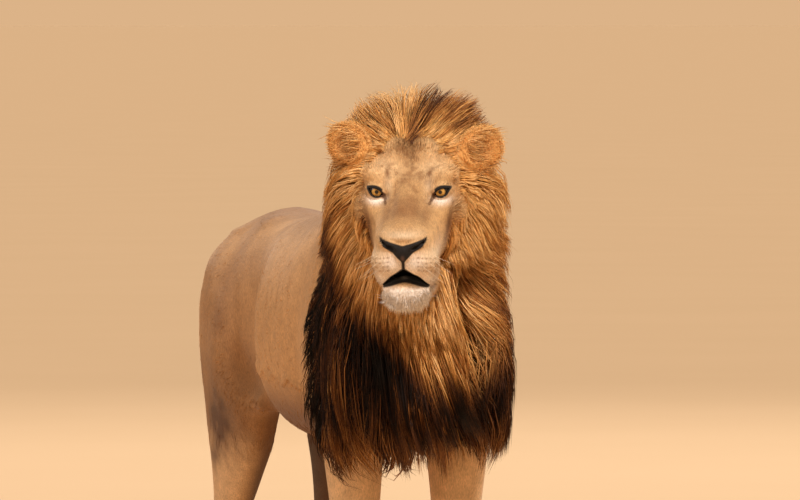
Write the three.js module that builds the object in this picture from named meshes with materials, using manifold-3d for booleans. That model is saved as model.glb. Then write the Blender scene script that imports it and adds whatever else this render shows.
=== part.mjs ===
// Standing adult male lion, life size, out to the tips of the coat.
// Millimetres, +Z up. The animal faces -Y, +X is its own left side,
// and its four paws stand on Z = 0. The forelegs stand on the plane Y = 0
// while the tables below are read; the finished group is centred last.
import * as THREE from 'three';
import { ParametricGeometry } from 'three/addons/geometries/ParametricGeometry.js';
import { mergeVertices } from 'three/addons/utils/BufferGeometryUtils.js';
import Module from 'manifold-3d';

const wasm = await Module();
wasm.setup();

// ---------------------------------------------------------------- sizes
const PART_GAP = 0.35;          // thin cut left between neighbouring parts
const FOREFOOT_X = 110;         // each forepaw from the middle plane
const HOCK_HEIGHT = 352;        // where the hind leg bends above the paw
const HINDFOOT_X = 118;         // each hind paw from the middle plane
const HIP_SHIFT = -8;           // the hindquarters swing a little to the right
const HEAD_YAW = -20;           // degrees, the head looks towards its right
const HEAD_PITCH = 11;          // degrees, muzzle slightly down
const EYES_AT = [-108, -472, 1126];   // point midway between the two eyes
const EYE_SPACING = 132;        // centre to centre
const EYE_RADIUS = 19;
const EAR_SPACING = 278;        // centre to centre of the two cups
const EAR_WIDTH = 94;
const EAR_HEIGHT = 98;
const NOSE_WIDTH = 88;
const NOSE_HEIGHT = 42;
const LOCK_COUNT = 11;          // big locks round the mane
const LOCK_DEPTH = 0.05;        // how far they stand out, of the radius

// ------------------------------------------------------------- materials
const coat = (hex) => new THREE.MeshStandardMaterial({ color: hex, roughness: 0.85, metalness: 0 });
const TAWNY = 0xb98a58;
const TAWNY_LEG = 0xc29561;
const GOLD = 0xb9743a;
const DARK_MANE = 0x3b2416;
const BROWN_MANE = 0x6e4424;

// ---------------------------------------------------------------- helpers

// Turns a closed geometry into a solid that can be joined and cut.
function solid(geometry) {
  const bare = geometry.clone();
  bare.deleteAttribute('normal');
  bare.deleteAttribute('uv');
  const welded = mergeVertices(bare, 1e-3);
  const points = welded.getAttribute('position').array;
  const index = welded.getIndex().array;
  const kept = [];
  let volume = 0;
  const corner = (i) => new THREE.Vector3().fromArray(points, 3 * i);
  for (let i = 0; i < index.length; i += 3) {
    const [a, b, c] = [index[i], index[i + 1], index[i + 2]];
    if (a === b || b === c || c === a) {
      continue;
    }
    kept.push(a, b, c);
    volume += corner(a).dot(corner(b).cross(corner(c)));
  }
  if (volume < 0) {
    for (let i = 0; i < kept.length; i += 3) {
      [kept[i], kept[i + 1]] = [kept[i + 1], kept[i]];
    }
  }
  const mesh = new wasm.Mesh({
    numProp: 3,
    vertProperties: new Float32Array(points),
    triVerts: new Uint32Array(kept),
  });
  return new wasm.Manifold(mesh);
}

// Smooth values between the rows of a table of sections.
function between(rows) {
  const size = rows[0].length;
  const stations = rows.map((row, i) => i);
  const curve = new THREE.CubicInterpolant(stations, rows.flat(), size);
  return (t) => Array.from(curve.evaluate(t * (rows.length - 1)));
}

// Body lofted through sections. A row is
//   [x, y, z, side, fore, aft, tilt, foreFull, aftFull, turn]
// side is the half width, fore and aft are the reaches of the section on the
// two sides of its centre: up and down at tilt 0, forward and back at tilt 90.
// foreFull and aftFull square the two halves off: 1 is an ellipse, less is fuller.
// turn swings the section about the upright axis, for a neck that bends.
// relief(around, along) scales the section, for locks and muscle.
function loft(rows, { around = 16, steps = 16, grow = 0, relief = null } = {}) {
  const at = between(rows);
  const stacks = steps + 2;
  const centre = (row) => new THREE.Vector3(row[0], row[1], row[2]);
  const startOut = centre(rows[0]).sub(centre(rows[1])).setLength(grow);
  const endOut = centre(rows.at(-1)).sub(centre(rows.at(-2))).setLength(grow);
  const surface = (u, v, target) => {
    const level = Math.round(v * stacks);
    const t = THREE.MathUtils.clamp((level - 1) / steps, 0, 1);
    const [x, y, z, side, fore, aft, tilt, foreFull, aftFull, turn] = at(t);
    const out = level < 2 ? startOut : endOut;
    const atEnd = level < 2 || level > stacks - 2;
    if (level === 0 || level === stacks) {
      target.set(x, y, z).add(out);
      return;
    }
    const angle = 2 * Math.PI * u;
    const swell = relief ? relief(u, t) : 1;
    const front = Math.cos(angle) > 0;
    const full = front ? foreFull : aftFull;
    const shape = (value) => Math.sign(value) * Math.abs(value) ** full;
    const across = shape(Math.sin(angle)) * (side * swell + grow);
    const up = shape(Math.cos(angle)) * ((front ? fore : aft) * swell + grow);
    const lean = THREE.MathUtils.degToRad(tilt);
    const swing = THREE.MathUtils.degToRad(turn);
    const sideways = Math.cos(swing) * across;
    const along = Math.sin(swing) * across - Math.sin(lean) * up;
    target.set(x + sideways, y + along, z + Math.cos(lean) * up);
    if (atEnd) {
      target.add(out);
    }
  };
  return new ParametricGeometry(surface, around, stacks);
}

// Rounded lump: centre and three half sizes, turned by angles in degrees.
function lump(centre, radii, turn = [0, 0, 0], fine = 14) {
  const ball = new THREE.SphereGeometry(1, fine, Math.round(fine * 0.7));
  ball.scale(...radii);
  ball.rotateX(THREE.MathUtils.degToRad(turn[0]));
  ball.rotateY(THREE.MathUtils.degToRad(turn[1]));
  ball.rotateZ(THREE.MathUtils.degToRad(turn[2]));
  ball.translate(...centre);
  return solid(ball);
}

const mirrorRows = (rows, side, shift = 0) => rows.map(([x, ...rest]) => [x * side + shift, ...rest]);

// The part of a body on one side of a plane, half a gap short of it.
function sideOf(body, normal, offset) {
  const length = Math.hypot(...normal);
  const unit = normal.map((value) => value / length);
  return body.trimByPlane(unit, offset + PART_GAP / 2);
}

// Splits a body by a plane into its two sides.
function split(body, normal, offset) {
  const back = normal.map((value) => -value);
  return [sideOf(body, normal, offset), sideOf(body, back, -offset)];
}

const group = new THREE.Group();
group.name = 'lion';

function addPart(name, body, hex) {
  const pieces = body.decompose();
  pieces.sort((a, b) => b.volume() - a.volume());
  const data = pieces[0].getMesh();
  const geometry = new THREE.BufferGeometry();
  geometry.setAttribute('position', new THREE.BufferAttribute(new Float32Array(data.vertProperties), 3));
  geometry.setIndex(new THREE.BufferAttribute(new Uint32Array(data.triVerts), 1));
  const mesh = new THREE.Mesh(geometry, coat(hex));
  mesh.name = name;
  group.add(mesh);
}

// ------------------------------------------------------------------ trunk
// Sections stand upright across the body, from the breast to the buttocks.
const upright = (full, lowFull) => (y, top, wide, bottom, side, x = 0, turn = 0) =>
  [x, y, wide, side, top - wide, wide - bottom, 0, full, lowFull, turn];
const trunkSection = upright(0.92, 0.9);
const TRUNK = [
  trunkSection(-215, 900, 830, 760, 60),
  trunkSection(-185, 985, 830, 690, 122),
  trunkSection(-110, 1075, 840, 622, 172),
  trunkSection(0, 1122, 850, 580, 194),
  trunkSection(150, 1112, 830, 558, 204),
  trunkSection(350, 1082, 815, 553, 214),
  trunkSection(550, 1066, 812, 563, 216),
  trunkSection(720, 1058, 825, 602, 202),
  trunkSection(870, 1060, 850, 652, 186),
  trunkSection(1010, 1062, 872, 705, 172),
  trunkSection(1120, 1044, 885, 745, 148),
  trunkSection(1200, 1004, 885, 780, 108),
  trunkSection(1236, 945, 885, 825, 55),
];

// ------------------------------------------------------------------- legs
// Sections lie level, from the hip or shoulder down to the pastern.
const legSection = (z, x, front, back, side) =>
  [x, (front + back) / 2, z, side, (back - front) / 2, (back - front) / 2, 90, 0.95, 0.95, 0];
const HIND_LEG = [
  legSection(1000, 88, 970, 1120, 34),
  legSection(962, 96, 884, 1190, 64),
  legSection(880, 109, 822, 1238, 80),
  legSection(790, 113, 792, 1252, 81),
  legSection(700, 114, 778, 1246, 76),
  legSection(620, 112, 782, 1222, 72),
  legSection(550, 112, 816, 1196, 66),
  legSection(480, 113, 886, 1180, 55),
  legSection(410, 114, 968, 1180, 45),
  legSection(345, 116, 1050, 1196, 38),
  legSection(290, 118, 1082, 1188, 36),
  legSection(200, 118, 1076, 1160, 34),
  legSection(120, 118, 1054, 1142, 38),
  legSection(70, 118, 1030, 1126, 46),
  legSection(30, 118, 1030, 1112, 42),
];
const FORE_LEG = [
  legSection(950, 98, -60, 90, 46),
  legSection(900, 106, -120, 130, 72),
  legSection(800, 114, -140, 150, 84),
  legSection(700, 115, -122, 142, 80),
  legSection(620, 112, -100, 122, 71),
  legSection(550, 110, -84, 88, 66),
  legSection(475, 109, -70, 62, 60),
  legSection(380, 109, -58, 50, 54),
  legSection(280, 109, -48, 42, 49),
  legSection(190, 109, -50, 40, 50),
  legSection(140, 110, -58, 40, 54),
  legSection(90, 110, -64, 36, 57),
  legSection(40, 110, -62, 24, 52),
];

// A paw: the pad body, four toes fanned out in front and a heel pad, flat below.
function paw(x, y, width, length, outward) {
  const parts = [lump([x, y - length * 0.14, 38], [width * 0.45, length * 0.42, 48], [0, 0, 0], 6)];
  for (let toe = 0; toe < 4; toe += 1) {
    const place = toe - 1.5;
    const inner = 1 - Math.abs(place) / 1.5;
    const toeX = x + place * width * 0.24;
    const toeY = y - length * (0.46 + 0.11 * inner);
    const turn = -place * 7 + outward;
    parts.push(lump([toeX, toeY, 30], [width * 0.15, length * 0.24, 37], [0, 0, turn], 6));
  }
  return wasm.Manifold.union(parts);
}

const LEG_MESH = { around: 10, steps: 12 };

function leg(rows, side, shift, pawX, pawY, width, length) {
  const shaft = solid(loft(mirrorRows(rows, side, shift), LEG_MESH));
  const foot = paw(side * pawX + shift, pawY, width, length, side * 4);
  return shaft.add(foot).trimByPlane([0, 0, 1], 0);
}

// ------------------------------------------------------------------- mane
// Sections stand upright across the neck, from the withers to the throat.
const maneSection = upright(0.8, 0.55);
const MANE = [
  maneSection(268, 1104, 1066, 1020, 50, 0, 0),
  maneSection(235, 1126, 1010, 900, 140, 0, 0),
  maneSection(170, 1146, 950, 735, 202, -2, 0),
  maneSection(80, 1180, 900, 625, 218, -6, 0),
  maneSection(-20, 1218, 870, 566, 218, -12, -2),
  maneSection(-110, 1256, 860, 546, 214, -20, -5),
  maneSection(-200, 1296, 870, 542, 208, -30, -9),
  maneSection(-275, 1328, 890, 560, 204, -40, -12),
  maneSection(-330, 1345, 910, 600, 198, -50, -15),
  maneSection(-368, 1338, 930, 640, 188, -60, -17),
  maneSection(-396, 1300, 936, 690, 170, -70, -19),
  maneSection(-416, 1208, 926, 738, 145, -78, -20),
  maneSection(-434, 1062, 908, 776, 116, -84, -20),
  maneSection(-452, 972, 893, 812, 80, -91, -20),
  maneSection(-464, 922, 880, 842, 40, -95, -20),
];

// Long locks run round and down the mane and open into points at its hem.
function lockRelief(u, t) {
  const low = Math.max(0, -Math.cos(2 * Math.PI * u));
  const wave = LOCK_COUNT * u + 1.6 * t + 0.35 * Math.sin(9 * t);
  const ridge = 1 - 2 * Math.abs((wave % 1 + 1) % 1 - 0.5);
  const ends = Math.sin(Math.PI * Math.min(1, Math.max(0, t)));
  return 1 + LOCK_DEPTH * ends * (ridge - 0.6) * (1 + 0.9 * low);
}

function maneBody(grow) {
  return solid(loft(MANE, { around: 33, steps: 12, grow, relief: lockRelief }));
}

// ------------------------------------------------------------------- head
// Sections across the head, from the nose to the nape, in the head's own
// frame: the origin midway between the eyes, the muzzle along -Y.
const headSection = (full, lowFull) => (y, top, wide, bottom, side) =>
  [0, y, wide, side, top - wide, wide - bottom, 0, full, lowFull, 0];
const snout = headSection(0.72, 0.7);
const brow = headSection(0.8, 0.8);
const UPPER_HEAD = [
  snout(-156, -64, -92, -116, 24),
  snout(-149, -50, -94, -134, 44),
  snout(-128, -38, -98, -150, 60),
  snout(-95, -26, -98, -158, 68),
  snout(-60, -13, -88, -160, 72),
  snout(-30, 4, -66, -158, 82),
  brow(-8, 26, -48, -154, 96),
  brow(14, 46, -42, -150, 106),
  brow(44, 70, -36, -144, 110),
  brow(80, 92, -28, -134, 112),
  brow(120, 84, -22, -118, 98),
  brow(158, 54, -20, -90, 74),
  brow(182, 14, -20, -56, 34),
];
const LOWER_JAW = [
  snout(-136, -186, -198, -212, 16),
  snout(-126, -177, -196, -224, 36),
  snout(-95, -172, -194, -228, 44),
  snout(-50, -168, -190, -224, 52),
  snout(10, -150, -176, -212, 66),
  snout(60, -120, -150, -188, 76),
  snout(100, -90, -120, -150, 56),
];

const headFrame = new THREE.Matrix4().makeTranslation(...EYES_AT)
  .multiply(new THREE.Matrix4().makeRotationZ(THREE.MathUtils.degToRad(HEAD_YAW)))
  .multiply(new THREE.Matrix4().makeRotationX(THREE.MathUtils.degToRad(HEAD_PITCH)));
const placeHead = (body) => body.transform(headFrame.elements);

function upperHead(grow) {
  const parts = [solid(loft(UPPER_HEAD, { around: 16, steps: 13, grow }))];
  const fat = (radii) => radii.map((radius) => radius + grow);
  for (const side of [-1, 1]) {
    parts.push(lump([side * 35, -116, -122], fat([39, 41, 34]), [0, 0, side * 12], 8));
  }
  return wasm.Manifold.union(parts);
}

function lowerJaw(grow) {
  const chin = lump([0, -110, -203], [38 + grow, 30 + grow, 27 + grow], [0, 0, 0], 8);
  return solid(loft(LOWER_JAW, { around: 12, steps: 7, grow })).add(chin);
}

// Nose leather: a rounded wedge, wide above and narrow below, two nostrils.
function nosePad() {
  const outline = new THREE.Shape();
  outline.moveTo(-NOSE_WIDTH * 0.34, NOSE_HEIGHT * 0.42);
  outline.lineTo(NOSE_WIDTH * 0.34, NOSE_HEIGHT * 0.42);
  outline.quadraticCurveTo(NOSE_WIDTH * 0.5, NOSE_HEIGHT * 0.3, NOSE_WIDTH * 0.36, -NOSE_HEIGHT * 0.06);
  outline.lineTo(NOSE_WIDTH * 0.08, -NOSE_HEIGHT * 0.5);
  outline.lineTo(-NOSE_WIDTH * 0.08, -NOSE_HEIGHT * 0.5);
  outline.lineTo(-NOSE_WIDTH * 0.36, -NOSE_HEIGHT * 0.06);
  outline.quadraticCurveTo(-NOSE_WIDTH * 0.5, NOSE_HEIGHT * 0.3, -NOSE_WIDTH * 0.34, NOSE_HEIGHT * 0.42);
  const leather = new THREE.ExtrudeGeometry(outline, {
    depth: 14, bevelEnabled: true, bevelSize: 5, bevelThickness: 7, bevelSegments: 1, curveSegments: 2,
  });
  leather.rotateX(Math.PI / 2);
  leather.rotateX(THREE.MathUtils.degToRad(-12));
  leather.translate(0, -144, -88);
  let pad = solid(leather);
  for (const side of [-1, 1]) {
    pad = pad.subtract(lump([side * 23, -168, -92], [9, 14, 6], [0, side * 24, 0], 6));
  }
  return pad;
}

// Ear: a round cup, open to the front and turned a little outward.
function ear(side, { grow = 0, cupped = true } = {}) {
  const radii = [EAR_WIDTH / 2, 24, EAR_HEIGHT / 2].map((radius) => radius + grow);
  const shell = lump([0, 0, 0], radii, [0, 0, 0], 10);
  const hollow = lump([0, -20, 2], [EAR_WIDTH / 2 - 11, 27, EAR_HEIGHT / 2 - 11], [0, 0, 0], 8);
  return (cupped ? shell.subtract(hollow) : shell)
    .rotate([0, side * 26, side * 8])
    .translate([side * EAR_SPACING / 2, 92, 74]);
}

// ------------------------------------------------------------------- tail
const tailSection = (x, y, z, radius, tilt) =>
  [x, y, z, radius, radius * 1.08, radius * 1.08, tilt, 1, 1, 0];
const TAIL = [
  tailSection(-2, 1120, 964, 36, 20),
  tailSection(-2, 1208, 950, 38, 30),
  tailSection(-5, 1262, 905, 34, 62),
  tailSection(-14, 1292, 820, 29, 84),
  tailSection(-30, 1300, 700, 25, 90),
  tailSection(-48, 1300, 580, 22, 92),
  tailSection(-62, 1297, 460, 20, 92),
  tailSection(-70, 1296, 350, 20, 90),
  tailSection(-74, 1298, 290, 30, 88),
  tailSection(-76, 1302, 220, 40, 86),
  tailSection(-77, 1306, 160, 31, 86),
  tailSection(-78, 1308, 112, 8, 86),
];

// ------------------------------------------------------------ put together
const mane = maneBody(0);
const maneSpace = maneBody(PART_GAP * 2);
const head = placeHead(upperHead(0));
const jaw = placeHead(lowerJaw(0));
const headSpace = placeHead(upperHead(PART_GAP).add(lowerJaw(PART_GAP)));

const legs = {};
for (const [word, side] of [['left', 1], ['right', -1]]) {
  legs[`foreleg_${word}`] = leg(FORE_LEG, side, 0, FOREFOOT_X, -18, 128, 172);
  legs[`hindleg_${word}`] = leg(HIND_LEG, side, HIP_SHIFT, HINDFOOT_X, 1076, 114, 160);
}
const legSpace = [];
for (const side of [-1, 1]) {
  legSpace.push(solid(loft(mirrorRows(FORE_LEG, side), { ...LEG_MESH, grow: PART_GAP })));
  legSpace.push(solid(loft(mirrorRows(HIND_LEG, side, HIP_SHIFT), { ...LEG_MESH, grow: PART_GAP })));
}

// Trunk: the sockets of the legs and the seat of the mane are cut out of it.
const tail = solid(loft(TAIL, { around: 8, steps: 15 }));
const tailSpace = solid(loft(TAIL, { around: 8, steps: 15, grow: PART_GAP }));
const trunk = solid(loft(TRUNK, { around: 20, steps: 14 }))
  .subtract(wasm.Manifold.union([maneSpace, tailSpace, ...legSpace]));
const [loin, barrel] = split(trunk, [0, 1, 0], 700);
addPart('trunk_barrel', barrel, TAWNY);
addPart('trunk_croup', loin, TAWNY);

// Legs: upper limb, lower limb and paw, and the hind leg parts at the hock too.
for (const [name, whole] of Object.entries(legs)) {
  const fore = name.startsWith('fore');
  const clear = fore ? whole.subtract(maneSpace) : whole.subtract(tailSpace);
  const [above, below] = split(clear, [0, 0, 1], fore ? 560 : 520);
  const [shank, foot] = split(below, [0, 0, 1], fore ? 100 : 92);
  addPart(`${name}_upper`, above, TAWNY);
  if (fore) {
    addPart(`${name}_lower`, shank, TAWNY_LEG);
  } else {
    const [gaskin, cannon] = split(shank, [0, 0, 1], HOCK_HEIGHT);
    addPart(`${name}_lower`, gaskin, TAWNY_LEG);
    addPart(`${name}_hock`, cannon, TAWNY_LEG);
  }
  addPart(`${name}_paw`, foot, TAWNY_LEG);
}

// Tail: root, middle and tuft.
const [tailTop, tailLow] = split(tail, [0, 0, 1], 760);
const [tailMiddle, tuft] = split(tailLow, [0, 0, 1], 315);
addPart('tail_root', tailTop, TAWNY);
addPart('tail_middle', tailMiddle, TAWNY);
addPart('tail_tuft', tuft, DARK_MANE);

// Head: cranium, muzzle, jaw, nose leather, eyes and ears.
const eyeHoles = [];
for (const side of [-1, 1]) {
  const centre = [side * EYE_SPACING / 2, -6, 0];
  eyeHoles.push(lump(centre, [EYE_RADIUS, EYE_RADIUS, EYE_RADIUS].map((r) => r + PART_GAP), [0, 0, 0], 9));
  eyeHoles.push(lump([centre[0] - side * 2, -24, 0], [21, 22, 11], [0, side * 12, side * 20], 8));
  const word = side > 0 ? 'left' : 'right';
  addPart(`eye_${word}`, placeHead(lump(centre, [EYE_RADIUS, EYE_RADIUS, EYE_RADIUS], [0, 0, 0], 9)), 0x8a5a1c);
}
const nose = nosePad();
const noseSpace = nose.hull().translate([0, 156, 88]).scale([1.012, 1.05, 1.025]).translate([0, -156, -88]);
const face = head
  .subtract(placeHead(wasm.Manifold.union([...eyeHoles, noseSpace])))
  .subtract(placeHead(lowerJaw(PART_GAP)));
const muzzleNormal = new THREE.Vector3(0, -1, 0).transformDirection(headFrame);
const muzzleAt = muzzleNormal.dot(new THREE.Vector3(0, -42, 0).applyMatrix4(headFrame));
const [muzzle, cranium] = split(face, muzzleNormal.toArray(), muzzleAt);
addPart('head', cranium, TAWNY_LEG);
addPart('muzzle', muzzle, 0xc7a074);
addPart('lower_jaw', jaw, 0xd8c6ae);
addPart('nose_leather', placeHead(nose), 0x1c1614);

const ears = [ear(-1), ear(1)].map(placeHead);
addPart('ear_right', ears[0].subtract(headSpace), GOLD);
addPart('ear_left', ears[1].subtract(headSpace), GOLD);

// Mane: crown, two cheeks, nape, throat and breast.
const earRoom = [-1, 1].map((side) => placeHead(ear(side, { grow: PART_GAP, cupped: false })));
const earSpace = wasm.Manifold.union(earRoom);
const ruff = mane.subtract(headSpace).subtract(earSpace);
const [upperRuff, lowerRuff] = split(ruff, [0, 0, 1], 900);
const [nape, front] = split(upperRuff, [0, 1, 0], -190);
const [crown, cheeks] = split(front, [0, 0.25, 1], 1150);
const [cheekLeft, cheekRight] = split(cheeks, [1, 0, 0], -60);
const [breast, shoulders] = split(lowerRuff, [0, -1, 0], 60);
addPart('mane_crown', crown, GOLD);
addPart('mane_nape', nape, BROWN_MANE);
addPart('mane_cheek_left', cheekLeft, GOLD);
addPart('mane_cheek_right', cheekRight, GOLD);
addPart('mane_breast', breast, DARK_MANE);
addPart('mane_shoulders', shoulders, DARK_MANE);

// ------------------------------------------------------ centre and finish
const box = new THREE.Box3().setFromObject(group);
for (const mesh of group.children) {
  mesh.geometry.translate(-(box.min.x + box.max.x) / 2, -(box.min.y + box.max.y) / 2, -box.min.z);
}

export default group;
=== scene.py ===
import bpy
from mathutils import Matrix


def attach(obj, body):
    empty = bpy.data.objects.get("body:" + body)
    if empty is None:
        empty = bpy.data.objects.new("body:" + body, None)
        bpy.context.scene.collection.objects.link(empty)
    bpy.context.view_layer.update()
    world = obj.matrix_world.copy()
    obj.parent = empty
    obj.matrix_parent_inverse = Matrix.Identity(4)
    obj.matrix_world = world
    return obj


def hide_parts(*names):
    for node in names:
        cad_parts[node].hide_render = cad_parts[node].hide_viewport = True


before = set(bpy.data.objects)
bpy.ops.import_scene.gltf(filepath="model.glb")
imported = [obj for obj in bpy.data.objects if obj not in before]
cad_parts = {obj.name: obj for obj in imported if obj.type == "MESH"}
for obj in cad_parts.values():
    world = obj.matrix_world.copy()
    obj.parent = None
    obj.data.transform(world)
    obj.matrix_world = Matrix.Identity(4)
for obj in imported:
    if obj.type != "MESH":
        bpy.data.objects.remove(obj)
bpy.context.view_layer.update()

import math

import bmesh
import bpy
import numpy as np
from mathutils import Matrix, Vector
from mathutils.kdtree import KDTree

bl_info = {
    "name": "Lion Model",
    "version": (1, 0, 0),
    "blender": (4, 5, 0),
    "location": "View3D > Sidebar > Lion",
    "description": "Builds a life-size standing lion over its solid frame",
    "category": "Add Mesh",
}

# ---------------------------------------------------------------- frames
# Tables of shape are in millimetres, with y = 0 at the forelegs. The model's own frame is metres.
TABLE_SHIFT = np.array((19.85, -361.49, 0.0))
HEAD_PLACE = (-108.0, -472.0, 1126.0)
HEAD_YAW, HEAD_PITCH = math.radians(-20.0), math.radians(11.0)
HEAD_TURN = np.array(Matrix.Rotation(HEAD_YAW, 3, "Z") @ Matrix.Rotation(HEAD_PITCH, 3, "X"))
SKIN_DEPTH = 9.0    # how deep the skin lies under the coat's tips
FAR = 160.0         # stands for any distance too great to matter
SIDES = ((1, "left"), (-1, "right"))


def to_model(p):
    """Table points in the model's own frame."""
    return (p + TABLE_SHIFT) / 1000.0


def to_table(p):
    """Points of the model's own frame as table points."""
    return np.asarray(p, float) * 1000.0 - TABLE_SHIFT


def to_head(p):
    """Table points seen from between the eyes, with the muzzle along -y."""
    return (p - np.array(HEAD_PLACE)) @ HEAD_TURN


def from_head(q):
    """Head points as table points."""
    return q @ HEAD_TURN.T + np.array(HEAD_PLACE)


# ---------------------------------------------------------------- colours
def ink(text):
    """A hex sRGB colour as linear numbers."""
    part = np.array([int(text[i:i + 2], 16) / 255.0 for i in (1, 3, 5)])
    return np.where(part <= 0.04045, part / 12.92, ((part + 0.055) / 1.055) ** 2.4)


# ---------------------------------------------------------------- shape tools
def dense(rows, step=2.0):
    """A table read at even steps, running smoothly through its rows."""
    rows = np.array(sorted(rows), float)
    s = rows[:, 0]
    slope = np.gradient(rows, s, axis=0)
    at = np.arange(s[0], s[-1] + step * 0.5, step)
    i = np.clip(np.searchsorted(s, at, "right") - 1, 0, len(s) - 2)
    gap = (s[i + 1] - s[i])[:, None]
    t = (at - s[i])[:, None] / gap
    out = (2 * t ** 3 - 3 * t ** 2 + 1) * rows[i] + (t ** 3 - 2 * t ** 2 + t) * gap * slope[i]
    out += (3 * t ** 2 - 2 * t ** 3) * rows[i + 1] + (t ** 3 - t ** 2) * gap * slope[i + 1]
    out[:, 0] = at
    return out


def read(table, s):
    """The rows of an even table at the places s."""
    step = table[1, 0] - table[0, 0]
    k = np.clip((s - table[0, 0]) / step, 0, len(table) - 1.001)
    i = k.astype(int)
    f = (k - i)[:, None]
    return table[i] * (1 - f) + table[i + 1] * f


def blend(a, b, k):
    """The smaller of two distances, rounded over k where they meet."""
    h = np.maximum(k - np.abs(a - b), 0) / k
    return np.minimum(a, b) - h * h * k * 0.25


def carve(a, b, k):
    """a with b taken out of it."""
    return -blend(-a, b, k)


def capped(d, end):
    """A distance from a side joined to one from an end, with a square edge."""
    return np.minimum(np.maximum(d, end), 0) + np.hypot(np.maximum(d, 0), np.maximum(end, 0))


def ring(u, v, side, reach, full):
    """Distance from a rounded section of half sizes side and reach."""
    n = 2.0 / full
    rho = ((np.abs(u) / side) ** n + (np.abs(v) / reach) ** n) ** (1 / n)
    r = np.hypot(u, v)
    return r - r / np.maximum(rho, 1e-4)


def barrel(table, p, upper=0.92, lower=0.9, inset=0.0, bent=False):
    """A body lofted along y from rows of y, top, wide, bottom, side, x and turn."""
    x, y, z = p.T
    s = y
    row = read(table, s)
    u = x - (row[:, 5] if table.shape[1] > 5 else 0.0)
    if bent:
        for _ in range(4):
            turn = np.radians(row[:, 6])
            u = (x - row[:, 5]) / np.cos(turn)
            s = 0.5 * s + 0.5 * (y - u * np.sin(turn))
            row = read(table, s)
    v = z - row[:, 2]
    up = v > 0
    reach = np.where(up, row[:, 1] - row[:, 2], row[:, 2] - row[:, 3]) - inset
    side = np.maximum(row[:, 4] - inset, 2.0)
    reach = np.maximum(reach, 2.0)
    d = np.where(up, ring(u, v, side, reach, upper), ring(u, v, side, reach, lower))
    ends = np.maximum(table[0, 0] + inset - s, s - table[-1, 0] + inset)
    return capped(d, ends)


def column(table, p, inset=0.0, shift=0.0):
    """A limb lofted along z from rows of z, x, front, back and side."""
    x, y, z = p.T
    row = read(table, z)
    u = x - row[:, 1] - shift
    v = y - (row[:, 2] + row[:, 3]) * 0.5
    reach = (row[:, 3] - row[:, 2]) * 0.5 - inset
    d = ring(u, v, row[:, 4] - inset, reach, 0.95)
    return capped(d, np.maximum(table[0, 0] - z, z - table[-1, 0]))


def lump(p, centre, radii, turn=None):
    """Distance from an egg shape."""
    v = p - np.array(centre, float)
    if turn is not None:
        v = v @ turn
    rho = np.linalg.norm(v / np.array(radii, float), axis=1)
    r = np.linalg.norm(v, axis=1)
    return r - r / np.maximum(rho, 1e-4)


def rod(p, a, b, ra, rb):
    """Distance from a rod between two points, with a radius at each."""
    a, b = np.array(a, float), np.array(b, float)
    t = np.clip((p - a) @ (b - a) / ((b - a) @ (b - a)), 0, 1)
    return np.linalg.norm(p - a - t[:, None] * (b - a), axis=1) - (ra + (rb - ra) * t)


def near(p, low, high, make):
    """make(p) inside a box, and far outside it."""
    inside = np.all((p > np.array(low)) & (p < np.array(high)), axis=1)
    out = np.full(len(p), FAR)
    if inside.any():
        out[inside] = make(p[inside])
    return out


def soft(value, low, high):
    """0 below low, 1 above high, rising smoothly between them."""
    t = np.clip((value - low) / (high - low), 0, 1)
    return t * t * (3 - 2 * t)


def spot(p, centre, radii):
    """1 at a centre, fading out over the radii."""
    return np.exp(-(((p - np.array(centre)) / np.array(radii)) ** 2).sum(axis=1))


def mirrored(p):
    """Points folded over to the side where x is positive."""
    return np.column_stack((np.abs(p[:, 0]), p[:, 1], p[:, 2]))


def turned(x=0.0, y=0.0, z=0.0):
    """A turn about x, then y, then z, in degrees, as a matrix."""
    m = Matrix.Rotation(math.radians(z), 3, "Z") @ Matrix.Rotation(math.radians(y), 3, "Y")
    return np.array(m @ Matrix.Rotation(math.radians(x), 3, "X"))


# ---------------------------------------------------------------- the lion's tables (mm)
TRUNK = dense([
    (-215, 900, 830, 760, 60), (-185, 985, 830, 690, 122), (-110, 1075, 840, 622, 172),
    (0, 1122, 850, 580, 194), (150, 1112, 830, 558, 204), (350, 1082, 815, 553, 214),
    (550, 1066, 812, 563, 216), (720, 1058, 825, 602, 202), (870, 1060, 850, 652, 186),
    (1010, 1062, 872, 705, 172), (1120, 1044, 885, 745, 148), (1200, 1004, 885, 780, 108),
    (1236, 945, 885, 825, 55),
])
NECK = dense([
    (-420, 1170, 1080, 985, 84, -96, 0), (-360, 1190, 1060, 920, 112, -82, 0),
    (-290, 1196, 1030, 840, 136, -58, 0), (-200, 1180, 980, 770, 150, -36, 0),
    (-100, 1150, 920, 700, 164, -16, 0), (20, 1116, 860, 640, 176, 0, 0),
])
HIND_LEG = dense([
    (1000, 88, 970, 1120, 34), (962, 96, 884, 1190, 64), (880, 109, 822, 1238, 80),
    (790, 113, 792, 1252, 81), (700, 114, 778, 1246, 76), (620, 112, 782, 1222, 72),
    (550, 112, 816, 1196, 66), (480, 113, 886, 1180, 55), (410, 114, 968, 1180, 45),
    (345, 116, 1050, 1196, 38), (290, 118, 1082, 1188, 36), (200, 118, 1076, 1160, 34),
    (120, 118, 1054, 1142, 38), (70, 118, 1030, 1126, 46), (24, 118, 1030, 1112, 42),
])
FORE_LEG = dense([
    (950, 98, -60, 90, 46), (900, 106, -120, 130, 72), (800, 114, -140, 150, 84),
    (700, 115, -122, 142, 80), (620, 112, -100, 122, 71), (550, 110, -84, 88, 66),
    (475, 109, -70, 62, 60), (380, 109, -58, 50, 54), (280, 109, -48, 42, 49),
    (190, 109, -50, 40, 50), (140, 110, -58, 40, 54), (90, 110, -64, 36, 57),
    (24, 110, -62, 24, 52),
])
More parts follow.
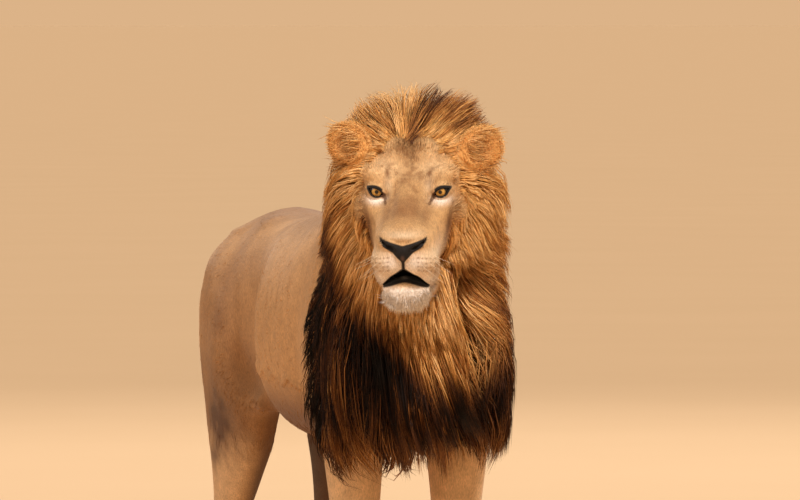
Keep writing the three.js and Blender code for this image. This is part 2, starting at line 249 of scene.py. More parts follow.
MANE = dense([
    (268, 1104, 1066, 1020, 50, 0, 0), (235, 1126, 1010, 900, 140, 0, 0),
    (170, 1146, 950, 735, 202, -2, 0), (80, 1180, 900, 625, 218, -6, 0),
    (-20, 1218, 870, 566, 218, -12, -2), (-110, 1256, 860, 546, 214, -20, -5),
    (-200, 1296, 870, 542, 208, -30, -9), (-275, 1328, 890, 560, 204, -40, -12),
    (-330, 1345, 910, 600, 198, -50, -15), (-368, 1338, 930, 640, 188, -60, -17),
    (-396, 1300, 936, 690, 170, -70, -19), (-416, 1208, 926, 738, 145, -78, -20),
    (-434, 1062, 908, 776, 116, -84, -20), (-452, 972, 893, 812, 80, -91, -20),
    (-464, 922, 880, 842, 40, -95, -20),
])
SNOUT = dense([
    (-156, -64, -92, -116, 24), (-149, -50, -94, -134, 44), (-128, -38, -98, -150, 60),
    (-95, -26, -98, -158, 68), (-60, -13, -88, -160, 72), (-30, 4, -66, -158, 82),
    (-8, 26, -48, -154, 96), (14, 46, -42, -150, 106), (44, 70, -36, -144, 110),
    (80, 92, -28, -134, 112), (120, 84, -22, -118, 98), (158, 54, -20, -90, 74),
    (182, 14, -20, -56, 34),
])
JAW = dense([
    (-136, -180, -190, -203, 16), (-126, -172, -190, -211, 36), (-95, -170, -190, -214, 44),
    (-50, -168, -190, -217, 52), (10, -150, -176, -212, 66), (60, -120, -150, -188, 76),
    (100, -90, -120, -150, 56),
])
TAIL = dense([  # measured down the tail: length, x, y, z, radius
    (0, -2, 1120, 964, 30), (88, -2, 1208, 950, 32), (160, -5, 1262, 905, 29),
    (250, -14, 1292, 820, 24), (371, -30, 1300, 700, 20), (492, -48, 1300, 580, 17),
    (613, -62, 1297, 460, 15), (723, -70, 1296, 350, 14), (783, -74, 1298, 290, 15),
    (853, -76, 1302, 220, 17), (913, -77, 1306, 160, 12), (955, -78, 1308, 118, 5),
], 8.0)
EYE = (66.0, -6.0, 0.0)
EYE_RADIUS = 19.0
EARS = {1: np.array((137.0, 92.0, 66.0)), -1: np.array((-131.0, 92.0, 75.0))}
EAR_TURN = {side: turned(0, side * 26, side * 8) for side in (1, -1)}
HIP_SHIFT = -8.0


def ear_frame(q, side):
    """Head points seen from the middle of one ear."""
    return (q - EARS[side]) @ EAR_TURN[side]


# ---------------------------------------------------------------- the skin's shape
def paw_shape(p, x, y, width, length):
    """Distance from a paw: its pad, and four toes, the inner two longer."""
    inset = 4.0
    out = lump(p, (x, y - 0.14 * length, 38), (0.45 * width - inset, 0.42 * length - inset, 46 - inset))
    for toe in range(4):
        place = toe - 1.5
        inner = 1.0 - abs(place) / 1.5
        at = (x + place * 0.222 * width, y - length * (0.43 + 0.10 * inner), 28)
        out = blend(out, lump(p, at, (0.15 * width - 2, 0.27 * length - 3, 32)), 11.0)
    return np.maximum(out, 2.0 - p[:, 2])


def tail_shape(p):
    """Distance from a row of balls along the tail."""
    return np.minimum.reduce([np.linalg.norm(p - row[1:4], axis=1) - row[4] for row in TAIL])


MUSCLES = (  # centre, size and height of each soft swelling, or hollow where the height is below zero
    ((150, 20, 930), (60, 60, 130), 6), ((190, 170, 900), (80, 50, 150), -7),
    ((165, 70, 760), (60, 70, 90), 9), ((190, 200, 700), (60, 52, 90), -8),
    ((120, 118, 640), (30, 34, 34), 8), ((200, 680, 820), (110, 118, 190), -42),
    ((70, 760, 1075), (60, 90, 60), -7), ((96, 868, 1040), (44, 56, 40), 8),
    ((175, 940, 800), (60, 110, 150), 8), ((150, 820, 640), (50, 46, 56), 9),
    ((175, 1140, 760), (50, 24, 170), -6), ((0, 100, 1110), (60, 110, 60), 7),
    ((0, 1000, 1080), (70, 90, 60), 5), ((30, 640, 1080), (20, 240, 40), -3),
    ((0, 560, 1080), (13, 420, 40), 4), ((112, -52, 205), (44, 22, 46), 4),
    ((112, 34, 330), (60, 16, 120), -4), ((150, -10, 330), (18, 26, 110), -3),
    ((150, -30, 560), (40, 40, 70), 4), ((150, 1150, 470), (18, 26, 90), -5),
    ((112, 1060, 250), (60, 20, 90), -2), ((120, 520, 560), (100, 220, 30), -6),
)
# a vein under the skin of the belly: y and z of its bends
VEIN = ((570, 716), (530, 734), (490, 708), (450, 730), (410, 704), (366, 724), (320, 700), (270, 716),
        (210, 694))


def muscle(p):
    """How far muscle, bone and veins lift the skin at each point."""
    s = mirrored(p)
    out = np.zeros(len(p))
    for centre, size, height in MUSCLES:
        out += height * spot(s, centre, size)
    rib_gap = 44.0
    ribs = spot(s, (190, 380, 800), (80, 170, 120))
    out += 0.45 * ribs * np.cos((p[:, 1] - 0.35 * p[:, 2]) / rib_gap * 2 * math.pi)
    side = s[:, 0] > 100
    gap = np.full(len(p), 40.0)
    for a, b in zip(VEIN, VEIN[1:]):
        flat = np.column_stack((np.zeros(side.sum()), p[side, 1], p[side, 2]))
        gap[side] = np.minimum(gap[side], rod(flat, (0, *a), (0, *b), 0, 0))
    out += 5.0 * np.exp(-(gap / 6.5) ** 2) * soft(s[:, 0], 120, 150)
    # loose skin in upright folds on the flank and behind the shoulder
    for height, slack, size, seed, centre, radii in ((3.0, 0.35, 46.0, 8, (190, 650, 800), (90, 170, 200)),
                                                     (4.0, 0.22, 30.0, 9, (190, 240, 850), (90, 190, 150))):
        out += height * (noise(p * (1.0, 1.0, slack), size, seed) - 0.5) * spot(s, centre, radii)
    return out


def stifle_and_heel(q, side):
    """Distance from the swelling over the knee and the point of the heel."""
    out = blend(np.full(len(q), FAR), lump(q, (side * 152, 905, 745), (46, 86, 150), turned(12)), 30.0)
    return blend(out, lump(q, (side * 120 + HIP_SHIFT, 1178, 352), (17, 22, 34)), 14.0)


def body_shape(p):
    """Distance from the body's skin, without the head."""
    d = near(p, (-260, -290, 480), (260, 1310, 1200), lambda q: barrel(TRUNK, q, inset=SKIN_DEPTH))
    neck = near(p, (-300, -470, 600), (260, 80, 1260), lambda q: barrel(NECK, q, 0.95))
    d = blend(d, neck, 50.0)
    for side in (-1, 1):
        low, high = sorted((side * 20, side * 260))
        hip = HIP_SHIFT
        limb = SKIN_DEPTH * 0.8
        # box, shape, rounding: hind leg, foreleg, the two paws, then the fold of loose skin up to the stifle
        for box_low, box_high, make, k in (
                ((low - 20, 700, -10), (high + 20, 1310, 1060),
                 lambda q: column(HIND_LEG, q * (side, 1, 1), limb, hip * side), 42.0),
                ((low, -220, -10), (high, 220, 1010),
                 lambda q: column(FORE_LEG, q * (side, 1, 1), limb), 42.0),
                ((low, -170, -10), (high, 80, 110), lambda q: paw_shape(q, side * 110, -18, 128, 172), 14.0),
                ((low, 920, -10), (high, 1170, 110),
                 lambda q: paw_shape(q, side * 118 + hip, 1076, 114, 160), 14.0),
                ((low, 700, 200), (high, 1300, 1000), lambda q: stifle_and_heel(q, side), 34.0),
                ((low, 600, 480), (high, 900, 820),
                 lambda q: rod(q, (side * 144, 700, 640), (side * 130, 830, 650), 15, 26), 90.0)):
            d = blend(d, near(p, box_low, box_high, make), k)
        # the hollow in front of the thigh, and the groove between two tendons above the hock
        for box_low, box_high, make, k in (
                ((low - 40, 640, 560), (high + 40, 860, 1100),
                 lambda q: rod(q, (side * 236, 770, 720), (side * 210, 842, 960), 9, 8), 34.0),
                ((low - 20, 1060, 330), (high + 20, 1240, 560),
                 lambda q: rod(q, (side * 158 + hip, 1144, 380), (side * 170 + hip, 1128, 530), 7, 9), 16.0)):
            d = carve(d, near(p, box_low, box_high, make), k)
    close = np.abs(d) < 60
    d[close] -= muscle(p[close])
    tail = near(p, (-130, 1080, 80), (60, 1360, 1040), tail_shape)
    d = blend(d, tail, 26.0)
    return np.maximum(d, 1.5 - p[:, 2])


LID_TILT = 0.4      # radians by which the eye's outer corner stands above the inner one


def eye_opening(q):
    """Below zero in front of the eyeball, between the lids, at mirrored head points."""
    v = q - np.array(EYE)
    c, s = math.cos(LID_TILT), math.sin(LID_TILT)
    a = (v[:, 0] - 1.0) * c + v[:, 2] * s
    b = (v[:, 0] - 1.0) * -s + v[:, 2] * c
    arch = 1.0 - (a / 16.2) ** 2
    return np.maximum(np.maximum(b - 6.2 * arch, -8.2 * arch - b) * 0.85, v[:, 1] + 2.0)


def lip_gap(q):
    """Below zero between the upper lip's edge and the lower one's, seen from the front."""
    ax = np.abs(q[:, 0])
    upper = -134.0 - 46.0 * (ax / 54.0) ** 1.15
    lower = -158.0 - 22.0 * (ax / 54.0) ** 1.5
    return np.maximum(np.maximum(q[:, 2] - upper, lower - q[:, 2]), ax - 57.0)


def mouth_gap(q):
    """Below zero between the lips, as far back as the mouth is hollow."""
    return np.maximum(lip_gap(q), q[:, 1] + 66.0)


def ear_cup(q, side):
    """Distance from one ear, a thick shell hollowed out in front."""
    v = ear_frame(q, side)
    shell = blend(lump(v, (0, 0, 0), (44, 22, 46)), lump(v, (-side * 14, 6, -38), (34, 26, 26)), 20.0)
    return carve(shell, lump(v, (-side * 1, -30, 1), (34, 20, 36)), 5.0)


def head_shape(q):
    """Distance from the head's skin, seen from between the eyes."""
    s = mirrored(q)
    snout = barrel(SNOUT, q, 0.74, 0.72, 4.0)
    brow = barrel(SNOUT, q, 0.84, 0.82, 5.0)
    share = soft(q[:, 1], -40, 10)
    d = snout * (1 - share) + brow * share
    jaw = blend(barrel(JAW, q, 0.85, 0.85, 4.0), lump(q, (0, -108, -183), (45, 27, 26)), 12.0)
    d = blend(d, jaw, 10.0)
    d = blend(d, lump(s, (33, -116, -120), (35, 38, 32)), 12.0)           # whisker pads
    d = blend(d, lump(s, (43, -84, -145), (22, 40, 32)), 18.0)            # hanging lips
    d = blend(d, lump(s, (60, 4, 26), (36, 20, 20), turned(0, -16)), 34.0)    # brows
    d = blend(d, lump(s, (84, 4, -42), (24, 30, 30)), 26.0)               # cheekbones
    d = blend(d, lump(s, (26, 46, 60), (26, 25, 26)), 24.0)               # forehead
    d = blend(d, rod(q, (0, -138, -58), (0, -20, 4), 16, 24), 22.0)       # bridge of the nose
    d = carve(d, rod(s, (76, -58, -18), (75, -112, -40), 22, 24), 14.0)   # hollow beside it
    d = carve(d, rod(q, (0, 2, 40), (0, 34, 84), 2, 2), 12.0)             # crease of the forehead
    # the eyes, deep under the brow, each with two lids round its ball
    ball = np.linalg.norm(s - np.array(EYE), axis=1)
    d = carve(d, lump(s, (65, -27, -2), (25, 15, 14), turned(0, -20)), 13.0)
    d = blend(d, np.maximum(ball - 22.0, s[:, 1] - 4.0), 4.0)
    d = carve(d, np.maximum(eye_opening(s), 16.0 - ball), 1.6)
    # the nose pad, its nostrils and the line down from it
    d = blend(d, lump(q, (0, -146, -98), (21, 17, 20)), 7.0)
    d = blend(d, lump(s, (25, -142, -84), (24, 18, 11), turned(0, -20, 14)), 6.0)
    d = carve(d, lump(s, (27, -160, -87), (12, 10, 5.0), turned(0, -26, 26)), 3.0)
    d = carve(d, rod(s, (36, -154, -81), (45, -140, -74), 4.0, 1.6), 3.0)
    d = carve(d, rod(q, (0, -168, -112), (0, -158, -142), 2.4, 3.2), 4.0)
    # the mouth, closed by the cheeks behind
    d = blend(d, lump(q, (0, 10, -158), (60, 80, 34)), 10.0)
    d = carve(d, mouth_gap(q), 4.0)
    d = blend(d, lump(q, (0, -98, -165), (22, 20, 7)), 4.0)               # floor of the mouth
    # the ears, thin cups that face forward
    for side in (1, -1):
        low, high = sorted((side * 60, side * 215))
        d = blend(d, near(q, (low, 20, -20), (high, 170, 160), lambda w: ear_cup(w, side)), 14.0)
    return d


# ---------------------------------------------------------------- meshes from shapes
def surface(shape, low, high, step):
    """Vertices and four-sided faces of the surface where shape is zero."""
    axes = [np.arange(low[i], high[i] + step, step) for i in range(3)]
    n = [len(a) for a in axes]
    points = np.stack(np.meshgrid(*axes, indexing="ij"), -1).reshape(-1, 3)
    value = np.empty(len(points))
    batch = 400000
    for start in range(0, len(points), batch):
        value[start:start + batch] = shape(points[start:start + batch])
    value = value.reshape(n)
    inside = value < 0
    cells = [k - 1 for k in n]
    total = np.zeros(cells + [3])
    count = np.zeros(cells)
    faces = []
    corner = np.arange(np.prod(cells)).reshape(cells)
    for axis in range(3):
        other = [i for i in range(3) if i != axis]
        a = [slice(None)] * 3
        b = [slice(None)] * 3
        a[axis], b[axis] = slice(0, -1), slice(1, None)
        va, vb = value[tuple(a)], value[tuple(b)]
        ia, ib = inside[tuple(a)], inside[tuple(b)]
        cross = ia != ib
        where = np.argwhere(cross)
        t = (va / np.where(cross, va - vb, 1.0))[cross]
        at = where.astype(float)
        at[:, axis] += t
        for du in (0, 1):
            for dv in (0, 1):
                cell = where.copy()
                cell[:, other[0]] -= du
                cell[:, other[1]] -= dv
                good = np.all((cell >= 0) & (cell < np.array(cells)), axis=1)
                key = tuple(cell[good].T)
                np.add.at(total, key, at[good])
                np.add.at(count, key, 1)
        inner = np.ones(len(where), bool)
        for o in other:
            inner &= (where[:, o] > 0) & (where[:, o] < n[o] - 1)
        w = where[inner]
        quad = []
        for du, dv in ((1, 1), (0, 1), (0, 0), (1, 0)):
            cell = w.copy()
            cell[:, other[0]] -= du
            cell[:, other[1]] -= dv
            quad.append(corner[tuple(cell.T)])
        quad = np.stack(quad, 1)
        flip = ia[cross][inner] == (axis == 1)
        quad[flip] = quad[flip][:, ::-1]
        faces.append(quad)
    faces = np.concatenate(faces)
    used, back = np.unique(faces, return_inverse=True)
    verts = total.reshape(-1, 3)[used] / count.reshape(-1, 1)[used]
    verts = verts * step + np.array(low)
    return verts, back.reshape(-1, 4)


def slope_of(shape, p, e):
    """The way a distance grows fastest, measured over a small step e."""
    out = np.empty_like(p)
    for i in range(3):
        q = p.copy()
        q[:, i] += e
        r = p.copy()
        r[:, i] -= e
        out[:, i] = (shape(q) - shape(r)) / (2 * e)
    return out


def settle(shape, p, e, rounds=2, reach=4.0):
    """Moves points onto the surface of a shape."""
    for _ in range(rounds):
        g = slope_of(shape, p, e)
        move = shape(p)[:, None] * g / np.maximum((g * g).sum(1, keepdims=True), 0.2)
        size = np.linalg.norm(move, axis=1, keepdims=True)
        p = p - move * np.minimum(1, reach / np.maximum(size, 1e-6))
    return p


def mesh_from(name, verts, faces):
    """A mesh object from an array of points and an array of faces, each row one face."""
    mesh = bpy.data.meshes.new(name)
    mesh.vertices.add(len(verts))
    mesh.vertices.foreach_set("co", np.ascontiguousarray(verts, np.float32).ravel())
    width = faces.shape[1]
    mesh.loops.add(faces.size)
    mesh.loops.foreach_set("vertex_index", faces.astype(np.int32).ravel())
    mesh.polygons.add(len(faces))
    mesh.polygons.foreach_set("loop_start", np.arange(0, faces.size, width, dtype=np.int32))
    mesh.update(calc_edges=True)
    mesh.validate()
    obj = bpy.data.objects.new(name, mesh)
    bpy.context.collection.objects.link(obj)
    return obj


def smooth(obj):
    """Makes all faces shade softly."""
    obj.data.polygons.foreach_set("use_smooth", np.ones(len(obj.data.polygons), bool))
    obj.data.update()


def points_of(mesh):
    """A mesh's vertices as an array."""
    out = np.empty(len(mesh.vertices) * 3, np.float32)
    mesh.vertices.foreach_get("co", out)
    return out.reshape(-1, 3).astype(float)


def paint(mesh, colours):
    """Puts a colour on every vertex, for the materials to read as Tint."""
    layer = mesh.color_attributes.new("Tint", "FLOAT_COLOR", "POINT")
    full = np.ones((len(colours), 4), np.float32)
    full[:, :3] = colours
    layer.data.foreach_set("color", full.ravel())


def freeze(obj):
    """Makes the evaluated shape the object's own mesh and drops its modifiers."""
    graph = bpy.context.evaluated_depsgraph_get()
    mesh = bpy.data.meshes.new_from_object(obj.evaluated_get(graph))
    obj.modifiers.clear()
    old = obj.data
    obj.data = mesh
    bpy.data.meshes.remove(old)


def finish_piece(obj, material, replaced=()):
    """Gives a piece its material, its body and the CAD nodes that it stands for."""
    obj.data.materials.clear()
    obj.data.materials.append(material)
    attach(obj, "root")
    if replaced:
        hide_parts(*replaced)


# ---------------------------------------------------------------- markings
def mixed(base, colour, share):
    """Rows of base drawn towards a colour, or towards rows of colours, by each one's share."""
    return base + (np.array(colour) - base) * np.clip(share, 0, 1)[:, None]


def noise(p, size, seed=0):
    """A smooth random number from 0 to 1 at each point, with cells of one size."""
    q = p / size + seed * 17.31
    i = np.floor(q).astype(np.int64)
    f = q - i
    f = f * f * (3 - 2 * f)
    out = np.zeros(len(p))
    for dx in (0, 1):
        for dy in (0, 1):
            for dz in (0, 1):
                h = (i[:, 0] + dx) * 73856093 ^ (i[:, 1] + dy) * 19349663 ^ (i[:, 2] + dz) * 83492791
                h = (h ^ (h >> 13)) * 1274126177
                h = ((h ^ (h >> 16)) & 0xFFFF) / 65535.0
                w = (f[:, 0] if dx else 1 - f[:, 0]) * (f[:, 1] if dy else 1 - f[:, 1])
                out += h * w * (f[:, 2] if dz else 1 - f[:, 2])
    return out


# dark_brown_and_shade serves both the coat's own dark brown marks and painted shade on legs and face
PALETTE = {
    "tawny": "#C89765", "back": "#875A30", "belly": "#7C5231", "leg": "#DFB486",
    "pale_leg": "#E0BE94", "dark_brown_and_shade": "#573217", "under_mane": "#4A2A14",
    "face": "#D3A570", "bridge": "#7A4A24", "brow": "#DDB486", "cream": "#F1DFC4",
    "white": "#FFF1E6", "black": "#17100D", "crease": "#8A5A30", "ear": "#E2A660",
    "ear_in": "#DDA566", "pink": "#8C6A60", "pale_lip_and_glint": "#D9C9BE", "mane": "#C08246", "dark_mane": "#2A170D",
}
INK = {name: ink(value) for name, value in PALETTE.items()}


REAR_LINE = ((560, 640, 700, 900, 1000, 1060, 1100, 1140), (-90, -60, -50, -70, -60, 20, 120, 235))  # z, y


def rear_line(p):
    """Where the mane ends behind, at each point's height: it slants from withers to elbow."""
    return np.interp(p[:, 2], *REAR_LINE)


def mane_end(p):
    """How far ahead of the mane's ragged rear edge each point is, in mm."""
    ragged = 80.0 * (noise(p, 84.0, 12) - 0.5) + 60.0 * (noise(p, 30.0, 15) - 0.5)
    return rear_line(p) + ragged - p[:, 1]


def face_edge(q):
    """1 on the hairline round the face, less inside it."""
    z = q[:, 2]
    half = np.interp(z, (-200, -150, -110, -60, -20, 20, 60, 100), (60, 70, 79, 89, 97, 98, 86, 64))
    top = np.maximum(z - 10, 0) / 70.0
    low = np.maximum(-60 - z, 0) / 142.0
    return ((np.abs(q[:, 0]) / half) ** 2.6 + top ** 2.6 + low ** 2.6) ** (1 / 2.6)


def head_share(q):
    """1 on the head, 0 off it."""
    return soft(-q[:, 1], -190, -150) * soft(-np.abs(q[:, 0]), -240, -200) * soft(q[:, 2], -250, -215)


# Painted shade on the hind legs, on one side only: colour, strength, centre, radii, how much is even and how
# much follows the noise
HIND_LEG_SHADE = (
    ("dark_brown_and_shade", 1.5, (-187, 950, 598), (62, 90, 62), 0.35, 1.0),
    ("dark_brown_and_shade", 0.75, (-170, 1040, 520), (60, 60, 34), 0.35, 1.0),
    ("dark_brown_and_shade", 0.45, (190, 1120, 540), (60, 60, 42), 0.4, 1.0),
)
# Marks of the face: colour, strength, if on both sides, centre, radii, even share, noisy share, which noise
FACE_MARKS = (
    ("brow", 1.0, True, (48, 10, 46), (42, 50, 34), 1.0, 0.0, 0),
    ("bridge", 0.5, True, (20, -20, 30), (60, 120, 70), 0.0, 1.0, 2),
    ("dark_brown_and_shade", 0.30, True, (66, -60, -70), (26, 80, 36), 0.0, 1.0, 3),
    ("bridge", 1.0, True, (0, -88, -32), (34, 58, 36), 0.85, 0.5, 0),
    ("bridge", 0.6, True, (0, -10, 14), (26, 40, 30), 1.0, 0.0, 0),
    ("crease", 0.85, False, (-3, 24, 76), (24, 40, 22), 0.45, 1.0, 1),
    ("dark_brown_and_shade", 0.45, False, (-5, 24, 74), (13, 40, 17), 0.2, 1.0, 1),
    ("dark_brown_and_shade", 0.55, False, (4, 16, 54), (4, 30, 16), 1.0, 0.0, 0),
    ("bridge", 0.75, True, (43, 0, 33), (6, 40, 13), 0.5, 1.0, 1),
    ("dark_brown_and_shade", 0.30, True, (36, -60, -30), (5, 60, 26), 0.5, 1.0, 1),
    ("bridge", 0.55, True, (42, -60, -42), (9, 60, 30), 1.0, 0.0, 0),
    ("white", 0.95, True, (67, -20, -17), (19, 26, 9), 1.0, 0.0, 0),
    ("cream", 0.3, True, (42, -20, 10), (9, 26, 16), 1.0, 0.0, 0),
    ("bridge", 0.5, True, (84, -10, -58), (14, 60, 44), 1.0, 0.0, 0),
    ("cream", 0.7, True, (52, -104, -114), (30, 60, 26), 1.0, 0.0, 0),
    ("cream", 0.6, True, (0, -150, -62), (38, 30, 10), 1.0, 0.0, 0),
    ("white", 1.0, True, (20, -138, -124), (25, 40, 25), 1.0, 0.0, 0),
    ("white", 1.0, True, (44, -100, -156), (24, 50, 22), 1.0, 0.0, 0),
)


def body_colour(p, broad, fine):
    """The colour of trunk, legs and tail, broken up by a broad and a fine noise, with painted shade under the
    belly, on the thighs, on the hind legs and inside the legs.
    """
    x, y, z = p.T
    c = np.tile(INK["tawny"], (len(p), 1))
    # painted shade on the thigh and hip, where they turn away from the light
    thigh = spot(p, (0, 885, 800), (400, 230, 230)) + 0.2 * spot(p, (0, 1180, 760), (400, 110, 230))
    # painted shadow on the inner sides of the legs, under the belly
    inner = soft(-np.abs(x), -142, -96) * soft(-z, -720, -640) * soft(z, 200, 380) * soft(y, 700, 800)
    groin = soft(y, 640, 720) * soft(-z, -780, -700) * soft(z, 480, 600)
    for name, share in (
            ("back", 0.75 * soft(z + 40 * broad, 1010, 1095) * soft(y, -100, 150)),
            # painted shade: the trunk's underside made darker than the belly's own pale fur
            ("belly", soft(-z, -730, -620) * soft(y, 60, 220) * soft(-y, -740, -640)),
            ("leg", 0.9 * soft(-z, -640, -520) * soft(np.abs(y - 400), 270, 330)),
            ("pale_leg", soft(-z, -330, -120)),
            ("bridge", 0.72 * thigh * (0.6 + 0.8 * broad)),
            ("dark_brown_and_shade", 0.9 * inner),
            ("back", 0.7 * groin * (0.6 + 0.6 * broad))):
        c = mixed(c, INK[name], share)
    for name, strength, centre, radii, even, noisy in HIND_LEG_SHADE:
        c = mixed(c, INK[name], strength * spot(p, centre, radii) * (even + noisy * fine))
    rear = soft(y, 1120, 1180) * soft(-z, -560, -430) * soft(z, 90, 150)
    c = mixed(c, INK["dark_brown_and_shade"], 0.9 * rear * soft(broad + 0.3 * fine, 0.35, 0.75))
    c = mixed(c, INK["back"], 0.35 * (fine - 0.5))
    c = mixed(c, INK["dark_mane"], soft(-z, -330, -270) * soft(y, 1230, 1270))
    # the mane's own ground
    return mixed(c, INK["under_mane"], soft(mane_end(p), -20, 40) * soft(z, 540, 640))


def black_parts(f, q, s):
    """The black skin of nose, lips, eye rims and tear lines, painted on face colours f, with painted shade in
    the mouth's hollow, over the eyes and along the face's edge, and a pale sliver with a painted highlight
    inside the lower lip.
    """
    m, ahead, up = s[:, 0], -q[:, 1], q[:, 2]
    top = -82.0 + 15.0 * (m / 47.0) ** 1.3
    bottom = np.interp(m, (0, 7, 20, 40, 48), (-121, -112, -98, -86, -74))
    pad = np.minimum(np.minimum(top - up, up - bottom), 48.0 - m)
    front = soft(ahead, 118, 130)
    under_lip = up + 134.0 + 46.0 * (m / 54.0) ** 1.15
    low_lip = -161.0 - 19.0 * (m / 54.0) ** 1.5 - up
    lips = np.maximum(np.maximum(under_lip, low_lip), m - 58.0) + 3.2 * soft(m, 30, 54)
    inside = soft(-ahead, -121, -115) * soft(-under_lip, -5.0, -2.0) * soft(up, -184, -178)
    edge = face_edge(q)
    ball = np.linalg.norm(s - np.array(EYE), axis=1)
    # the rim is widened above the eye by a band of painted shadow under the brow
    rim = eye_opening(s) - 2.6 * soft(up, 1, 6)
    tear = rod(s * (1, 0, 1), (52, 0, -7), (45, 0, -19), 4.0, 1.6)
    for name, share in (
            ("black", soft(pad, -1.4, 1.4) * front),
            ("pink", 0.5 * spot(q, (0, -158, -108), (3.5, 30, 5)) * front),
            ("black", soft(3.2 - m, -1.5, 1.0) * soft(-up, 112, 116) * soft(up, -150, -144) * front),
            ("black", soft(-lips, -5.5, -2.8) * soft(ahead, 20, 36)),
            # painted shade: the hollow of the mouth behind the lips, made black
            ("black", inside * soft(-m, -46, -40) * soft(ahead, 20, 30)),
            # a pale sliver inside the lower lip: partly the lip's own pale skin, partly a painted wet
            # highlight
            ("pale_lip_and_glint", 0.9 * spot(q, (-4, -110, -157), (9, 12, 2.6))),
            # painted shadow along the face's edge, in the gap under the cheeks' mane
            ("dark_brown_and_shade", 0.95 * soft(edge, 0.83, 0.93) * soft(-edge, -1.02, -0.95)
             * spot(q, (0, -30, -68), (300, 80, 52))),
            ("black", soft(-rim, -4.6, -2.4) * soft(-ball, -36, -28) * soft(ahead, 0, 10)),
            ("dark_brown_and_shade", 0.85 * soft(-tear, -2.4, 0.0) * soft(ahead, 8, 16))):
        f = mixed(f, INK[name], share)
    return f


def markings(p):
    """The coat's colour at table points, for the skin and for the short tufts."""
    n1, n2, n3 = noise(p, 70.0, 1), noise(p, 24.0, 2), noise(p, 9.0, 4)
    c = body_colour(p, n1, n2)
    q = to_head(p)
    on_head = head_share(q)
    if not (on_head > 0.01).any():
        return c
    s = mirrored(q)
    f = np.tile(INK["face"], (len(p), 1))
    grains = (n2, n3, soft(n3, 0.45, 0.8), soft(n3, 0.55, 0.85))
    for name, strength, both, centre, radii, even, noisy, grain in FACE_MARKS:
        share = strength * spot(s if both else q, centre, radii) * (even + noisy * grains[grain])
        f = mixed(f, INK[name], share)
    f = mixed(f, INK["white"], soft(-q[:, 2], 168, 182) * soft(-q[:, 1], 40, 70))
    # rows of dark spots where the whiskers root
    for row in range(4):
        for k in range(6):
            x, z = 31 + 8.0 * k, -108 - 9.0 * row - 1.2 * k
            near_by = np.hypot(s[:, 0] - x, (s[:, 2] - z) * 1.7)
            f = mixed(f, INK["crease"], 0.75 * np.exp(-(near_by / 3.0) ** 2) * soft(-q[:, 1], 60, 90))
    f = black_parts(f, q, s)
    for side in (1, -1):
        v = ear_frame(q, side)
        cup = soft(-np.linalg.norm(v / (50, 40, 52), axis=1), -1.15, -0.95)
        hollow = np.linalg.norm((v - (-side * 1, -10, -4)) / (32, 30, 34), axis=1)
        for name, share in (("ear", cup), ("ear_in", 0.8 * cup * soft(-hollow, -1.05, -0.6)),
                            ("dark_brown_and_shade", 0.55 * cup * soft(v[:, 1], 6, 16))):
            f = mixed(f, INK[name], share)
    # the ground of the mane round the face, clear of the ears
    edge = face_edge(q)
    clear = 1 - soft(np.maximum.reduce([spot(q, EARS[side], (52, 60, 54)) for side in (-1, 1)]), 0.25, 0.4)
    growth = soft(-mane_hull(p), -8, 2) * (0.5 * soft(edge, 0.88, 1.02) + 0.5 * soft(edge, 1.0, 1.12))
    f = mixed(f, INK["mane"], growth * clear * soft(q[:, 1], -60, -15))
    f = mixed(f, INK["under_mane"], soft(q[:, 1], 60, 110) * clear)
    return mixed(c, f, on_head)


# ---------------------------------------------------------------- materials
def node(tree, kind, settings=(), **links):
    """Adds one node with its settings, and its inputs as values or as other nodes' outputs."""
    made = tree.nodes.new(kind)
    for key, value in dict(settings).items():
        setattr(made, key, value)
    for key, value in links.items():
        socket = made.inputs[int(key[1:])] if key[0] == "_" else made.inputs[key.replace("_", " ")]
        if isinstance(value, bpy.types.NodeSocket):
            tree.links.new(value, socket)
        else:
            socket.default_value = value
    return made


def new_material(name, **shader):
    """A material with numbers set on its shader, with its tree and its shader to add to."""
    material = bpy.data.materials.new(name)
    material.use_nodes = True
    tree = material.node_tree
    tree.nodes.clear()
    body = node(tree, "ShaderNodeBsdfPrincipled")
    for key, value in shader.items():
        body.inputs[key.replace("_", " ")].default_value = value
    out = node(tree, "ShaderNodeOutputMaterial")
    tree.links.new(body.outputs[0], out.inputs[0])
    return material, tree, body


def grain(tree, scale, low, high, where, detail=2.0, **more):
    """A fine noise of a size (cells to the metre), and the brightness from low to high that it gives."""
    cells = node(tree, "ShaderNodeTexNoise", Vector=where, Scale=scale, Detail=detail, **more).outputs[0]
    tone = node(tree, "ShaderNodeMapRange", Value=cells, From_Min=0.3, From_Max=0.7, To_Min=low, To_Max=high)
    return cells, tone.outputs[0]


def tint_by(tree, body, tone):
    """The vertex colour, made brighter or darker, as the shader's colour."""
    tint = node(tree, "ShaderNodeAttribute", {"attribute_name": "Tint"})
    scaled = node(tree, "ShaderNodeVectorMath", {"operation": "SCALE"}, _0=tint.outputs["Color"], Scale=tone)
    tree.links.new(scaled.outputs[0], body.inputs["Base Color"])


